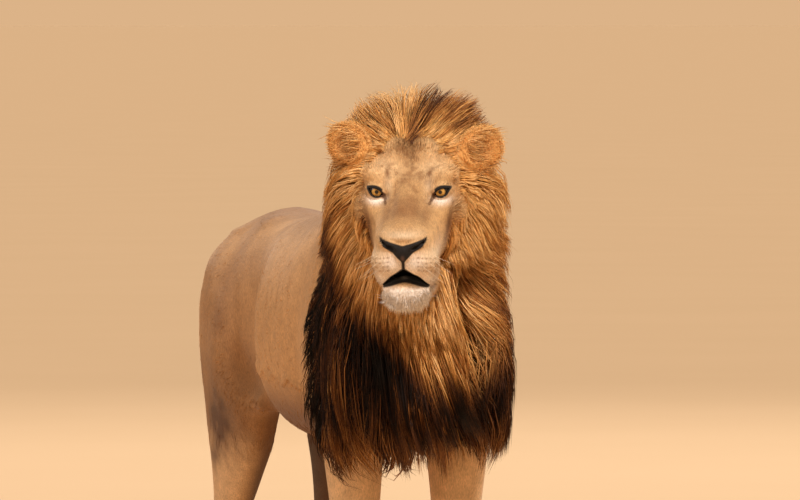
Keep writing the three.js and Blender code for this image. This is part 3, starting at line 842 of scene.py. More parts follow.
def short_coat_material():
    """Short lion's hair lying flat on skin: soft, dull and finely streaked along its lie."""
    material, tree, body = new_material("short_hair", Roughness=0.72, Specular_IOR_Level=0.25,
                                        Sheen_Weight=0.12, Sheen_Roughness=0.5)
    where = node(tree, "ShaderNodeTexCoord").outputs["Object"]
    lie = node(tree, "ShaderNodeMapping", Vector=where, Scale=(1.0, 0.55, 0.28)).outputs[0]
    hair, streaks = grain(tree, 520.0, 0.74, 1.20, lie, 3.0, Roughness=0.6)
    _, patches = grain(tree, 38.0, 0.88, 1.10, where, 4.0, Roughness=0.6)
    both = node(tree, "ShaderNodeMath", {"operation": "MULTIPLY"}, _0=streaks, _1=patches)
    tint_by(tree, body, both.outputs[0])
    bump = node(tree, "ShaderNodeBump", Strength=0.6, Distance=0.002, Height=hair)
    tree.links.new(bump.outputs[0], body.inputs["Normal"])
    return material


def grained_material(name, scale, low, high, **shader):
    """A material of the vertex colour with a fine grain."""
    material, tree, body = new_material(name, **shader)
    _, tone = grain(tree, scale, low, high, node(tree, "ShaderNodeTexCoord").outputs["Object"])
    tint_by(tree, body, tone)
    return material


def long_hair_material(name, roughness):
    """Long mane hair: coloured lock by lock, with a soft gloss along each one."""
    return grained_material(name, 260.0, 0.85, 1.15, Roughness=roughness, Specular_IOR_Level=0.22)


def eye_material():
    """A wet eye: amber iris with fine spokes, black pupil and rim, under a clear glossy front."""
    return grained_material("wet_eye", 900.0, 0.8, 1.2, Roughness=0.2, Specular_IOR_Level=0.3,
                            Coat_Weight=0.55, Coat_Roughness=0.03)


# ---------------------------------------------------------------- sizes and colours to change
class LionSettings(bpy.types.PropertyGroup):
    """Sizes, counts and colour that can be changed before the steps are run"""
    body_step: bpy.props.FloatProperty(
        name="Body Mesh Step", description="Edge length of the body's skin mesh",
        default=0.0078, min=0.004, max=0.03, unit="LENGTH")
    head_step: bpy.props.FloatProperty(
        name="Head Mesh Step", description="Edge length of the head's skin mesh",
        default=0.0032, min=0.002, max=0.01, unit="LENGTH")
    mane_locks: bpy.props.IntProperty(
        name="Mane Locks", description="How many locks the mane has in all",
        default=36000, min=2000, max=42000)
    coat_share: bpy.props.FloatProperty(
        name="Coat Share", description="Share of the short tufts that are made",
        default=1.0, min=0.02, max=1.0, subtype="FACTOR")
    iris: bpy.props.FloatVectorProperty(
        name="Iris", description="Colour of the iris", subtype="COLOR", size=3,
        default=tuple(ink("#C8964A")))


# ---------------------------------------------------------------- the skin
def head_mesh(step):
    """The head as a mesh of its own, in place."""
    low, high = (-205, -185, -240), (205, 190, 150)
    verts, faces = surface(head_shape, low, high, step)
    verts = settle(head_shape, verts, 0.5, 2, step * 0.6)
    obj = mesh_from("head_block", verts, faces)
    work = bmesh.new()
    work.from_mesh(obj.data)
    work.verts.ensure_lookup_table()
    co = points_of(obj.data)
    # smaller faces round the eyes, on the nose and along the lips
    fine = np.linalg.norm(mirrored(co) - np.array((66, -22, -2)), axis=1) < 27
    fine |= (lump(co, (0, -150, -96), (48, 30, 36)) < 0)
    fine |= (np.abs(mouth_gap(co)) < 7) & (co[:, 1] < -84)
    edges = [e for e in work.edges if fine[e.verts[0].index] and fine[e.verts[1].index]]
    bmesh.ops.subdivide_edges(work, edges=edges, cuts=1, use_grid_fill=True)
    work.to_mesh(obj.data)
    work.free()
    co = settle(head_shape, points_of(obj.data), 0.35, 2, 1.2)
    obj.data.vertices.foreach_set("co", to_model(from_head(co)).astype(np.float32).ravel())
    obj.data.update()
    return obj


class LION_OT_skin(bpy.types.Operator):
    """Build the one skin of body, legs, tail and head"""
    bl_idname = "lion.skin"
    bl_label = "Skin"

    def execute(self, context):
        settings = context.scene.lion
        step = settings.body_step * 1000
        verts, faces = surface(body_shape, (-245, -440, -8), (245, 1345, 1215), step)
        verts = settle(body_shape, verts, 1.0, 1, step * 0.5)
        skin = mesh_from("skin", to_model(verts), faces)
        head = head_mesh(settings.head_step * 1000)
        join = skin.modifiers.new("join", "BOOLEAN")
        join.operation = "UNION"
        join.solver = "MANIFOLD"
        join.object = head
        freeze(skin)
        bpy.data.objects.remove(head)
        smooth(skin)
        paint(skin.data, markings(to_table(points_of(skin.data))))
        flesh = [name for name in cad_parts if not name.startswith("eye")]
        finish_piece(skin, short_coat_material(), flesh)
        return {"FINISHED"}


# ---------------------------------------------------------------- the eyes
IRIS_EDGE, PUPIL_EDGE = 31.0, 11.5  # degrees from the middle of the eye's front


class LION_OT_eyes(bpy.types.Operator):
    """Build the two eyeballs with iris and pupil"""
    bl_idname = "lion.eyes"
    bl_label = "Eyes"

    def execute(self, context):
        material = eye_material()
        iris = np.array(context.scene.lion.iris)
        for side, name in SIDES:
            work = bmesh.new()
            bmesh.ops.create_uvsphere(work, u_segments=56, v_segments=72, radius=1.0)
            mesh = bpy.data.meshes.new("eyeball_" + name)
            work.to_mesh(mesh)
            work.free()
            # a pole of the ball looks out of the eye, so that pupil and iris are round
            facing = turned(0, 0, -side * 4)
            p = points_of(mesh)[:, (0, 2, 1)] * (1, -1, 1) @ facing.T
            look = facing @ np.array((0.0, -1.0, 0.0))
            angle = np.degrees(np.arccos(np.clip(p @ look, -1, 1)))
            colour = np.tile(iris, (len(p), 1))
            spokes = noise(p, 0.09, 5)
            colour = colour * (0.65 + 0.7 * spokes[:, None])
            colour = mixed(colour, INK["black"], soft(angle, IRIS_EDGE - 4, IRIS_EDGE + 4))
            colour = mixed(colour, iris * 0.35, 0.6 * soft(-angle, -17, -11))
            colour = mixed(colour, INK["black"], soft(-angle, -PUPIL_EDGE - 1, 1 - PUPIL_EDGE))
            bulge = 1.0 + 0.05 * np.exp(-(angle / 26) ** 2)
            q = p * bulge[:, None] * (EYE_RADIUS - 0.4) + np.array((side * EYE[0], EYE[1], EYE[2]))
            mesh.vertices.foreach_set("co", to_model(from_head(q)).astype(np.float32).ravel())
            paint(mesh, colour)
            eye = bpy.data.objects.new("eyeball_" + name, mesh)
            context.collection.objects.link(eye)
            smooth(eye)
            finish_piece(eye, material, ["eye_" + name])
        return {"FINISHED"}


# ---------------------------------------------------------------- long hair
def unit(v):
    """Rows made one long."""
    return v / np.maximum(np.linalg.norm(v, axis=-1, keepdims=True), 1e-9)


def scatter(mesh, count, weight, rng):
    """Random places on a mesh, in table points, and its normals there, more where weight is higher."""
    co = to_table(points_of(mesh))
    mesh.calc_loop_triangles()
    tris = np.empty(len(mesh.loop_triangles) * 3, np.int32)
    mesh.loop_triangles.foreach_get("vertices", tris)
    tris = tris.reshape(-1, 3)
    a, b, c = co[tris[:, 0]], co[tris[:, 1]], co[tris[:, 2]]
    area = np.linalg.norm(np.cross(b - a, c - a), axis=1)
    share = area * weight((a + b + c) / 3)
    pick = rng.choice(len(tris), count, p=share / share.sum())
    u, v = rng.random((2, count))
    over = u + v > 1
    u[over], v[over] = 1 - u[over], 1 - v[over]
    at = a[pick] + (b - a)[pick] * u[:, None] + (c - a)[pick] * v[:, None]
    corner = np.empty(len(mesh.vertices) * 3, np.float32)
    mesh.vertices.foreach_get("normal", corner)
    corner = corner.reshape(-1, 3)
    n = corner[tris[pick]]
    w = np.column_stack((1 - u - v, u, v))
    return at, unit((n * w[:, :, None]).sum(1))


def mane_hull(p):
    """Distance from the outside of the mane, with the head taken in."""
    drop = 72.0 * soft(-p[:, 2], -800, -600)
    pinch = 22.0 * soft(p[:, 1], -290, -110) * soft(-p[:, 0], 60, 160) * soft(p[:, 2], 820, 960)
    d = barrel(MANE, p + np.column_stack((-pinch, np.zeros(len(p)), drop)), 0.64, 0.55, bent=True)
    skull = barrel(SNOUT, to_head(p), 0.84, 0.82)
    d = d + 24.0 * soft(p[:, 1] - rear_line(p), -150, 20) * soft(p[:, 2], 880, 1000)
    return blend(d, skull - 5.0, 34.0)


def swirl(p, size, seed):
    """A smooth random direction at each point."""
    return np.column_stack([noise(p, size, seed + k) - 0.5 for k in range(3)]) * 2


def mane_lie(p):
    """The way the mane's hair runs at each point: out from the face, then down and back."""
    q = to_head(p)
    radial = np.column_stack((q[:, 0], np.zeros(len(q)), q[:, 2] + 45))
    radial = unit(radial) @ HEAD_TURN.T
    front = np.maximum(soft(-q[:, 1], -150, -40), soft(p[:, 2], 1150, 1215) * soft(-q[:, 1], -190, -145))
    high = soft(p[:, 2], 1060, 1290)
    chest = soft(-p[:, 2], -1000, -840)
    low_left = soft(q[:, 0], 20, 160) * soft(-p[:, 2], -1050, -850)
    d = radial * (0.12 + 0.88 * front)[:, None]
    d[:, 2] -= (1 - high) * (0.75 + 0.35 * (1 - front)) + 0.5 * chest
    d[:, 1] += 0.25 + 0.95 * (1 - front) * (1 - 0.7 * chest)
    d[:, 0] += 0.10 + 0.42 * high * front * soft(q[:, 0], -80, 40) + 0.26 * low_left
    d[:, 0] -= 0.35 * soft(-q[:, 0], 30, 110) * soft(p[:, 2], 1150, 1215)
    d[:, 1] += 0.9 * soft(-mane_end(p), -90, 0) * soft(p[:, 1], -260, -120)
    d[:, 1] -= 1.1 * soft(-p[:, 2], -900, -780) * soft(-p[:, 1], 60, 160)
    return d


def mane_length(p, q, depth):
    """How long the mane's hair is: short at the hairline and the rear edge, longest down the chest."""
    chest = soft(-p[:, 2], -1010, -860) * soft(-p[:, 1], 10, 130)
    length = 118.0 + 255.0 * chest
    length += 22.0 * soft(p[:, 2], 1150, 1230) * soft(-q[:, 1], -140, -40)
    length += 48.0 * soft(q[:, 1], 30, 90) * soft(-q[:, 1], -260, -160) * soft(q[:, 2], -120, 0)
    hairline = soft(face_edge(q), 0.94, 1.28)
    front = soft(-q[:, 1], -90, -40)
    length *= 1 - front * (1 - hairline) * 0.62
    length = np.maximum(length, (1.25 * depth + 48.0) * soft(p[:, 2], 1110, 1190))
    rear = 40.0 + 1.1 * np.maximum(mane_end(p), 0)
    rear += 150.0 * soft(-p[:, 2], -860, -760)
    return np.minimum(np.minimum(length, 34.0 + 3.4 * np.maximum(depth, 0)), rear)


def run_hair(roots, normals, length, lie, aim, lift, steps=10):
    """Paths of hair from their roots. aim is how far inside the hull each tip ends."""
    n = len(roots)
    path = np.empty((steps + 1, n, 3))
    path[0] = roots
    at = roots.copy()
    start = mane_hull(roots)
    ds = (length / steps)[:, None]
    heading = unit(normals * 0.9 + unit(lie(roots)) * 0.6)
    for k in range(steps):
        t = (k + 1) / steps
        out = unit(slope_of(mane_hull, at, 4.0)) if k % 2 == 0 else out
        gap = mane_hull(at)
        want = start + (aim - start) * (1 - (1 - t) ** lift)
        d = unit(lie(at) + 0.5 * swirl(at, 70.0, 3) + 0.25 * swirl(at, 24.0, 7))
        d -= (d * out).sum(1, keepdims=True) * out * 0.9
        d = unit(d)
        push = np.clip((want - gap) / (length / steps), -1.2, 1.6)
        d = unit(d + out * push[:, None])
        heading = unit(heading * 0.45 + d * 0.55)
        at = at + heading * ds
        path[k + 1] = at
    return path.transpose(1, 0, 2)


def cut_to(path, share):
    """Each path shortened to a share of its length, with as many points."""
    steps = path.shape[1] - 1
    k = np.linspace(0, 1, steps + 1)[None, :] * share[:, None] * steps
    i = np.minimum(k.astype(int), steps - 1)
    f = (k - i)[:, :, None]
    rows = np.arange(len(path))[:, None]
    return path[rows, i] * (1 - f) + path[rows, i + 1] * f


def nearest(points, anchors):
    """Which anchor is nearest to each point."""
    tree = KDTree(len(anchors))
    for i, p in enumerate(anchors):
        tree.insert(p, i)
    tree.balance()
    return np.array([tree.find(p)[1] for p in points])


def gather(path, guide, leader, grip):
    """Draws each path towards its leader, more so near the tip."""
    t = np.linspace(0, 1, path.shape[1])[None, :, None]
    pull = grip[:, None, None] * t ** 1.3
    return path + (guide[leader] - path) * pull


def wave(path, normals, size, length, turn, phase):
    """Paths that swing from side to side and in and out, once in every turn mm."""
    t = np.linspace(0, 1, path.shape[1])[None, :]
    along = t * length[:, None]
    side = unit(np.cross(path[:, -1] - path[:, 0], normals))
    a = np.sin(along / turn * 2 * math.pi + phase[:, None]) * size[:, None] * np.minimum(t * 2, 1)
    b = np.cos(along / (turn * 1.3) * 2 * math.pi + phase[:, None] * 1.7) * size[:, None] * 0.6 * t
    return path + a[:, :, None] * side[:, None, :] + b[:, :, None] * normals[:, None, :]


GIRTH = (0.85, 1.0, 0.85, 0.5)      # a lock's width from root to tip, as shares of its full width
MAP_RADIUS = 0.0015                 # half the size of a lock's patch in the bake map


def locks(name, path, normals, width, tint, patch, flat=0.6):
    """One mesh of tapered, closed, three-sided locks. tint is a colour for each ring and tip."""
    n, rings = path.shape[0], path.shape[1] - 1
    forward = unit(np.gradient(path, axis=1))
    side = unit(np.cross(forward, normals[:, None, :]))
    up = unit(np.cross(side, forward))
    size = np.interp(np.linspace(0, 1, rings), np.linspace(0, 1, len(GIRTH)), GIRTH)
    verts = np.empty((n, rings * 3 + 1, 3))
    turn = np.radians((90.0, 210.0, 330.0))
    reach = (width[:, None] * 0.5 * size[None, :])[:, :, None]
    for j, angle in enumerate(turn):
        offset = side[:, :rings] * math.cos(angle) + up[:, :rings] * (math.sin(angle) * flat)
        verts[:, j:rings * 3:3] = path[:, :rings] + offset * reach
    verts[:, -1] = path[:, -1]
    one = []
    for r in range(rings - 1):
        for j in range(3):
            k = (j + 1) % 3
            a, b, c, d = r * 3 + j, r * 3 + k, r * 3 + 3 + k, r * 3 + 3 + j
            one += [(a, b, c), (a, c, d)]
    last = (rings - 1) * 3
    one += [(last + j, last + (j + 1) % 3, last + 3) for j in range(3)]
    one.append((2, 1, 0))
    one = np.array(one)
    per = rings * 3 + 1
    faces = (one[None] + (np.arange(n) * per)[:, None, None]).reshape(-1, 3)
    obj = mesh_from(name, to_model(verts.reshape(-1, 3)), faces)
    paint(obj.data, np.repeat(tint, [3] * rings + [1], axis=1).reshape(-1, 3))
    # the map: every lock is a small fan round its root's place, its hidden end beside it
    radius = MAP_RADIUS * (1 - np.arange(rings) / rings)
    fan = np.concatenate([np.column_stack((np.cos(turn), np.sin(turn))) * r for r in radius] + [[(0.0, 0.0)]])
    corner = fan[one].astype(float)
    corner[-1] = np.array((0.0012, 0.0012)) + np.array(((0, 0), (0.0002, 0), (0, 0.0002)))
    layer = obj.data.uv_layers.new(name="OFBake")
    layer.data.foreach_set("uv", (corner[None] + patch[:, None, None, :]).astype(np.float32).ravel())
    smooth(obj)
    return obj


def spread(u, v):
    """Two surface measures as places in the map, kept off its edge."""
    out = []
    for value in (u, v):
        low, high = value.min(), value.max()
        out.append(0.01 + 0.98 * (value - low) / max(high - low, 1e-6))
    return np.column_stack(out)


HAIR = [ink(c) for c in ("#F4C486", "#E2A860", "#B5763C", "#613619", "#26120A", "#0A0403")]


def hair_colour(tone):
    """From pale gold at 0 through brown to black at 1."""
    k = np.clip(tone, 0, 1) * (len(HAIR) - 1)
    i = np.minimum(k.astype(int), len(HAIR) - 2)
    f = (k - i)[..., None]
    table = np.array(HAIR)
    return table[i] * (1 - f) + table[i + 1] * f


# places across the front and heights there, in mm: where gold turns to black, and where the mane ends below
# the dark line stands higher on the lion's right: partly the mane's own darker hair, partly painted shade on
# that side
DARK_LINE = ((-194, -170, -122, -68, -20, 50, 132, 224), (1125, 1075, 930, 850, 812, 726, 705, 800))
HEM = ((-177, -146, -94, -42, -10, 42, 73, 115, 177, 208), (615, 578, 552, 516, 502, 508, 548, 582, 584, 568))
# the first spot is the chest's black hair deepened by painted shadow under the chin
TONE_SPOTS = (  # darker places below the chin: strength, centre, radii
    (0.42, (-50, -420, 770), (58, 260, 120)), (0.24, (150, -400, 700), (60, 260, 80)),
)
# dark places up the crest between the ears: centre, radii
CREST = (((5, 30, 112), (22, 100, 54)), ((20, 50, 155), (26, 100, 54)), ((42, 60, 198), (28, 100, 54)))


def across(p):
    """How far each point is to the lion's left, seen from 14 degrees to the right of straight ahead."""
    return 0.970 * p[:, 0] - 0.242 * p[:, 1]


def mane_tone(p):
    """How dark the mane is: gold round the face, brown at its edges, black down the chest, with painted
    shadow beside the cheeks and below the chin.
    """
    q = to_head(p)
    y, z = p[:, 1], p[:, 2]
    flat = np.column_stack((across(p), y, z))
    back = soft(y, -330, -120)
    line = np.interp(flat[:, 0], *DARK_LINE) * (1 - back) + 960.0 * back
    low = soft(line - z, -60, 60)
    tone = 0.09 + 0.61 * low
    tone += 0.10 * soft(-q[:, 0], 128, 185) * soft(-z, -1230, -1080) * (1 - low)
    tone += 0.34 * soft(q[:, 0], 120, 190) * soft(-z, -1110, -960) * (1 - low)
    for strength, centre, radii in TONE_SPOTS:
        tone += strength * spot(flat, centre, radii)
    tone += 0.62 * np.maximum.reduce([spot(q, centre, radii) for centre, radii in CREST])
    tone += 0.32 * soft(q[:, 0] + 0.7 * q[:, 2], 118, 185) * soft(z, 1200, 1265)
    tone -= 0.10 * spot(q, (-60, 30, 150), (40, 100, 60))
    tone += 0.12 * back
    tone -= 0.25 * spot(flat, (15, -430, 880), (44, 120, 60)) * soft(tone, 0.4, 0.7)
    # a painted shadow beside the cheeks, then lighter tips at the hem and round the face
    edge = face_edge(q)
    tone += 0.5 * soft(edge, 0.86, 0.96) * soft(-edge, -1.16, -1.04) * spot(q, (0, -30, -72), (300, 90, 56))
    tone += 0.04 * low - 0.19 * soft(-z, -650, -560) + 0.18 * spot(flat, (94, -400, 785), (46, 260, 80))
    return tone - 0.14 * soft(-edge, -1.3, -1.0) * soft(-q[:, 1], -60, 0) * soft(z, 960, 1040)


def mane_ground(p, q):
    """1 where the mane grows from the skin, 0 where only the short coat does."""
    depth = -mane_hull(p)
    head = head_share(q)
    face = (face_edge(q) < 0.97) & (q[:, 1] < 75)
    face |= (q[:, 1] < -72) & (q[:, 2] > -222) & (face_edge(q) < 1.25)
    ears = np.zeros(len(p), bool)
    for side in (1, -1):
        v = ear_frame(q, side) - (-side * 2, 0, 2)
        ears |= (np.linalg.norm(v / (50, 36, 52), axis=1) < 1)
    w = np.where(head > 0.5, soft(depth, -8, 2), soft(depth, 2, 14)) * ~face * ~ears
    w *= np.where(p[:, 2] < 560, 0.0, 1.0)
    return w * soft(mane_end(p), -30, 70)


MANE_PIECES = ("locks_crown", "locks_nape", "locks_cheek_left", "locks_throat_left", "locks_breast_left",
               "locks_cheek_right", "locks_throat_right", "locks_breast_right")


def mane_piece(p, q):
    """Which piece each root belongs to: crown and nape above, then three shares down each side."""
    below = p[:, 2] < 1150
    out = np.where(q[:, 1] < np.median(q[~below, 1]), 0, 1)
    for k, side in enumerate((q[:, 0] > 0, q[:, 0] <= 0)):
        mine = np.flatnonzero(below & side)
        order = np.argsort(np.argsort(-p[mine, 2]))
        out[mine] = 2 + 3 * k + order * 3 // max(len(mine), 1)
    return out


MOST_LOCKS = 7100                   # in one piece, which keeps it under 200,000 triangles
LOCKS_TO_LEADER, LEADERS_TO_CHIEF = 13, 7
KEPT_STEPS = (0, 3, 6, 8, 10)       # the points of a path that its lock is built on
LEFT_END, RIGHT_END = 232, -270     # how far the mane reaches to each side
STRAY_SHARE, STREAK_SHARE = 0.05, 0.13
LOWEST_TIP, SHORTEST = 420, 0.22    # locks that end lower, or are cut shorter, are left out


def mane_density(p):
    """Where the mane's locks grow, more round the face, on the crown and on the chest."""
    q = to_head(p)
    w = mane_ground(p, q)
    w *= 1 + 1.6 * soft(-q[:, 1], -110, -30)
    w *= 1 + 1.2 * soft(p[:, 2], 1130, 1200) + 2.0 * soft(p[:, 2], 1150, 1200) * soft(-q[:, 1], -100, -70)
    w *= 1 + 1.3 * soft(-p[:, 1], 230, 330) * soft(-p[:, 2], -1010, -900)
    w *= 1 + 1.2 * soft(-p[:, 1], 120, 180) * soft(-p[:, 2], -900, -800)
    return w * (1 - 0.4 * soft(-p[:, 2], -900, -720) * soft(p[:, 1], -330, -230))


def kept_share(path, reach, hem):
    """How much of each path is kept: up to the hull, the hem, the sides and the ears."""
    share = np.ones(len(path))
    steps = path.shape[1] - 1
    for k in range(steps, 2, -1):
        at = path[:, k]
        past = (mane_hull(at) > reach) | (at[:, 2] < hem) | (at[:, 0] < RIGHT_END) | (at[:, 0] > LEFT_END)
        share = np.where(past, (k - 0.5) / steps, share)
    for side in (1, -1):
        for k in range(steps, 1, -1):
            v = ear_frame(to_head(path[:, k]), side)
            over_ear = (np.hypot(v[:, 0] / 40, v[:, 2] / 42) < 1) & (v[:, 1] < 8) & (v[:, 1] > -60)
            share = np.where(over_ear, (k - 0.5) / steps, share)
    return share


class LION_OT_mane(bpy.types.Operator):
    """Build the mane's long locks"""
    bl_idname = "lion.mane"
    bl_label = "Mane"

    def execute(self, context):
        rng = np.random.default_rng(11)
        total = context.scene.lion.mane_locks
        roots, normals = scatter(bpy.data.objects["skin"].data, total, mane_density, rng)
        q = to_head(roots)
        right_cheek = soft(-roots[:, 0], 110, 180) * soft(roots[:, 2], 990, 1050)
        depth = -mane_hull(roots)
        length = mane_length(roots, q, depth) * rng.uniform(0.75, 1.15, total)
        aim = rng.uniform(-46, 2, total) * np.clip(depth / 60, 0.15, 1) + 12.0 * right_cheek
        path = run_hair(roots, normals, length, mane_lie, aim, 2.2)
        # shaggy locks: each follows one of a few leaders, which follow fewer chiefs
        lead = rng.permutation(total)[:total // LOCKS_TO_LEADER]
        leader = nearest(roots, roots[lead])
        chief = rng.permutation(len(lead))[:len(lead) // LEADERS_TO_CHIEF]
        over = nearest(roots[lead], roots[lead][chief])
        hang = soft(-path[lead, -1, 2], -760, -640)
        draw = rng.uniform(0.25, 0.65, len(lead)) * (1 - hang) + rng.uniform(0.6, 0.92, len(lead)) * hang
        guide = gather(path[lead], path[lead][chief], over, draw)
        guide = wave(guide, normals[lead], rng.uniform(1.0, 5.0, len(lead)), length[lead], 90.0,
                     rng.uniform(0, 6.28, len(lead)))
        stray = rng.random(total) < STRAY_SHARE
        grip = np.where(stray, 0.1, rng.uniform(0.45, 0.92, total))
        grip *= 1 - 0.25 * soft(roots[:, 2], 1120, 1200)
        path = gather(path, guide, leader, grip)
        for _ in range(2):
            path[:, 1:-1] = 0.25 * path[:, :-2] + 0.5 * path[:, 1:-1] + 0.25 * path[:, 2:]
        phase = rng.uniform(0, 6.28, len(lead))[leader] + rng.normal(0, 0.5, total)
        path = wave(path, normals, rng.uniform(0.6, 2.6, total), length, 68.0, phase)
        # tips end near the hull, some short of it, strays a little past it
        reach = np.minimum(rng.normal(-2, 9, len(lead)), 9)[leader] + rng.normal(0, 4, total)
        reach = np.where(stray, rng.uniform(4, 18, total), np.minimum(reach, 15)) + 9.0 * right_cheek
        hem = np.interp(across(path[lead[chief], -1]), *HEM) + rng.uniform(-30, 34, len(chief))
        hem = hem[over][leader] + rng.uniform(-4, 34, len(lead))[leader] + rng.normal(0, 8, total)
        share = kept_share(path, reach, hem)
        path = cut_to(path, share)[:, KEPT_STEPS]
        # colour: by place, then by leader and lock, darker at the root, with some brown streaks in the black
        tone = mane_tone(path.reshape(-1, 3)).reshape(total, -1)
        shade = rng.normal(0, 0.10, len(lead))[leader] + rng.normal(0, 0.07, total)
        shade += 0.34 * (noise(roots, 34.0, 21) - 0.5)
        dark = tone.mean(1) > 0.55
        streak = ~stray & (rng.random(len(lead)) < STREAK_SHARE)[leader] & dark & (rng.random(total) < 0.8)
        shade = np.where(streak, shade - 0.2, shade)
        ends = np.linspace(0, 1, path.shape[1])[None, :]
        tone = tone + shade[:, None] + 0.16 * (1 - ends) ** 2 - 0.05 * np.sin(ends * 3.1)
        tint = hair_colour(tone) * rng.uniform(0.86, 1.14, (total, 1, 1))
        thick = np.where(rng.random(total) < 0.45, rng.uniform(1.4, 2.3, total), rng.uniform(2.4, 3.9, total))
        thick = np.where(stray, rng.uniform(1.0, 1.6, total), thick)
        thick *= np.clip(share * 1.6, 0.5, 1) * (1 - 0.25 * soft(roots[:, 2], 1150, 1200))
        material = long_hair_material("mane_hair", 0.58)
        which = mane_piece(roots, q)
        good = (path[:, :, 2].min(1) > LOWEST_TIP) & (share > SHORTEST)
        around = np.arctan2(roots[:, 0] + 40, roots[:, 2] - 930)
        for number, name in enumerate(MANE_PIECES):
            mine = np.flatnonzero((which == number) & good)[:MOST_LOCKS]
            along = roots[mine, 1] - 0.35 * np.minimum(roots[mine, 2] - 900, 0) * (number > 1)
            obj = locks(name, path[mine], normals[mine], thick[mine], tint[mine], spread(around[mine], along))
            finish_piece(obj, material)
        return {"FINISHED"}


# ---------------------------------------------------------------- short coat
def tuft_tree():
    """Sets a small closed tuft on every point: three-sided, widest at its middle, bent towards the skin."""
    tree = bpy.data.node_groups.new("coat_tufts", "GeometryNodeTree")
    for label, kind in (("Roots", "Geometry"), ("Bend", "Float"), ("Swell", "Float"), ("Root Shade", "Float"),
                        ("Tip Shade", "Float"), ("Coat", "Material")):
        tree.interface.new_socket(label, in_out="INPUT", socket_type="NodeSocket" + kind)
    tree.interface.new_socket("Tufts", in_out="OUTPUT", socket_type="NodeSocketGeometry")

    def get(kind, settings=(), **links):
        return node(tree, kind, settings, **links).outputs[0]

    def maths(operation, a, b, c=0.0):
        return get("ShaderNodeMath", {"operation": operation}, _0=a, _1=b, _2=c)

    def vector(operation, a, b, c=(0.0, 0.0, 0.0)):
        return get("ShaderNodeVectorMath", {"operation": operation}, _0=a, _1=b, _2=c)

    def named(label, kind="FLOAT_VECTOR"):
        return get("GeometryNodeInputNamedAttribute", {"data_type": kind}, Name=label)

    def store(label, kind, domain, geometry, value):
        return get("GeometryNodeStoreNamedAttribute", {"data_type": kind, "domain": domain},
                   Geometry=geometry, Name=label, Value=value)

    given = node(tree, "NodeGroupInput").outputs
    cone = get("GeometryNodeMeshCone", {"fill_type": "NGON"}, Vertices=3, Side_Segments=2,
               Radius_Top=0.0, Radius_Bottom=0.5, Depth=1.0)
    place = get("GeometryNodeInputPosition")
    x, y, along = node(tree, "ShaderNodeSeparateXYZ", Vector=place).outputs
    marked = store("along", "FLOAT", "POINT", cone, along)
    # the map's fan: the tuft seen from its tip, and its hidden end beside it
    facing = get("GeometryNodeFieldOnDomain", {"data_type": "FLOAT_VECTOR", "domain": "FACE"},
                 Value=get("GeometryNodeInputNormal"))
    down = node(tree, "ShaderNodeSeparateXYZ", Vector=facing).outputs[2]
    under = get("FunctionNodeCompare", {"data_type": "FLOAT", "operation": "LESS_THAN"}, _0=down, _1=-0.9)
    fan = vector("MULTIPLY", place, (0.0029, 0.0029, 0.0))
    cap = vector("MULTIPLY_ADD", place, (0.0003, 0.0003, 0.0), (0.0013, 0.0013, 0.0))
    either = get("GeometryNodeSwitch", {"input_type": "VECTOR"}, Switch=under, **{"False": fan, "True": cap})
    mapped = store("fan", "FLOAT_VECTOR", "CORNER", marked, either)
    # widest at the middle, then bent over
    arch = maths("MULTIPLY", maths("SUBTRACT", 1.0, along), along)
    wide = maths("MULTIPLY_ADD", arch, given["Swell"], 1.0)
    lean = maths("MULTIPLY", maths("MULTIPLY", along, along), given["Bend"])
    shaped = get("ShaderNodeCombineXYZ", X=maths("SUBTRACT", maths("MULTIPLY", x, wide), lean),
                 Y=maths("MULTIPLY", y, wide), Z=along)
    tuft = get("GeometryNodeSetPosition", Geometry=mapped, Position=shaped)
    turn = get("FunctionNodeAlignRotationToVector", {"axis": "Z"}, Vector=named("lie"))
    turn = get("FunctionNodeAlignRotationToVector", {"axis": "X", "pivot_axis": "Z"},
               Rotation=turn, Vector=named("rise"))
    tufts = get("GeometryNodeInstanceOnPoints", Points=given["Roots"], Instance=tuft, Rotation=turn,
                Scale=named("size"))
    real = get("GeometryNodeRealizeInstances", Geometry=tufts)
    baked = store("OFBake", "FLOAT2", "CORNER", real, vector("ADD", named("place"), named("fan")))
    shade = get("ShaderNodeMapRange", Value=named("along", "FLOAT"), To_Min=given["Root Shade"],
                To_Max=given["Tip Shade"])
    tinted = get("ShaderNodeVectorMath", {"operation": "SCALE"}, _0=named("Tint", "FLOAT_COLOR"), Scale=shade)
    coloured = store("Tint", "FLOAT_COLOR", "POINT", baked, tinted)
    soft_shade = get("GeometryNodeSetShadeSmooth", Geometry=coloured)
    node(tree, "NodeGroupOutput",
         _0=get("GeometryNodeSetMaterial", Geometry=soft_shade, Material=given["Coat"]))
    return tree


def grow(tree, name, roots, lie, normals, size, tint, place, material):
    """Tufts on roots (table mm) as one mesh object. size is thickness, width and length in mm."""
    mesh = bpy.data.meshes.new(name)
    mesh.vertices.add(len(roots))
    mesh.vertices.foreach_set("co", to_model(roots).astype(np.float32).ravel())
    for label, value in (("lie", lie), ("rise", normals), ("size", size / 1000.0),
                         ("place", np.column_stack((place, np.zeros(len(place)))))):
        layer = mesh.attributes.new(label, "FLOAT_VECTOR", "POINT")
        layer.data.foreach_set("vector", value.astype(np.float32).ravel())
    paint(mesh, tint)
    obj = bpy.data.objects.new(name, mesh)
    bpy.context.collection.objects.link(obj)
    made = obj.modifiers.new("tufts", "NODES")
    made.node_group = tree
    values = {"Bend": 0.2, "Swell": 2.6, "Root Shade": 0.92, "Tip Shade": 1.14, "Coat": material}
    for socket in tree.interface.items_tree:
        if socket.in_out == "INPUT" and socket.name in values:
            made[socket.identifier] = values[socket.name]
    freeze(obj)
    for label in ("lie", "rise", "size", "place", "fan", "along"):
        layer = obj.data.attributes.get(label)
        if layer is not None:
            obj.data.attributes.remove(layer)
    return obj


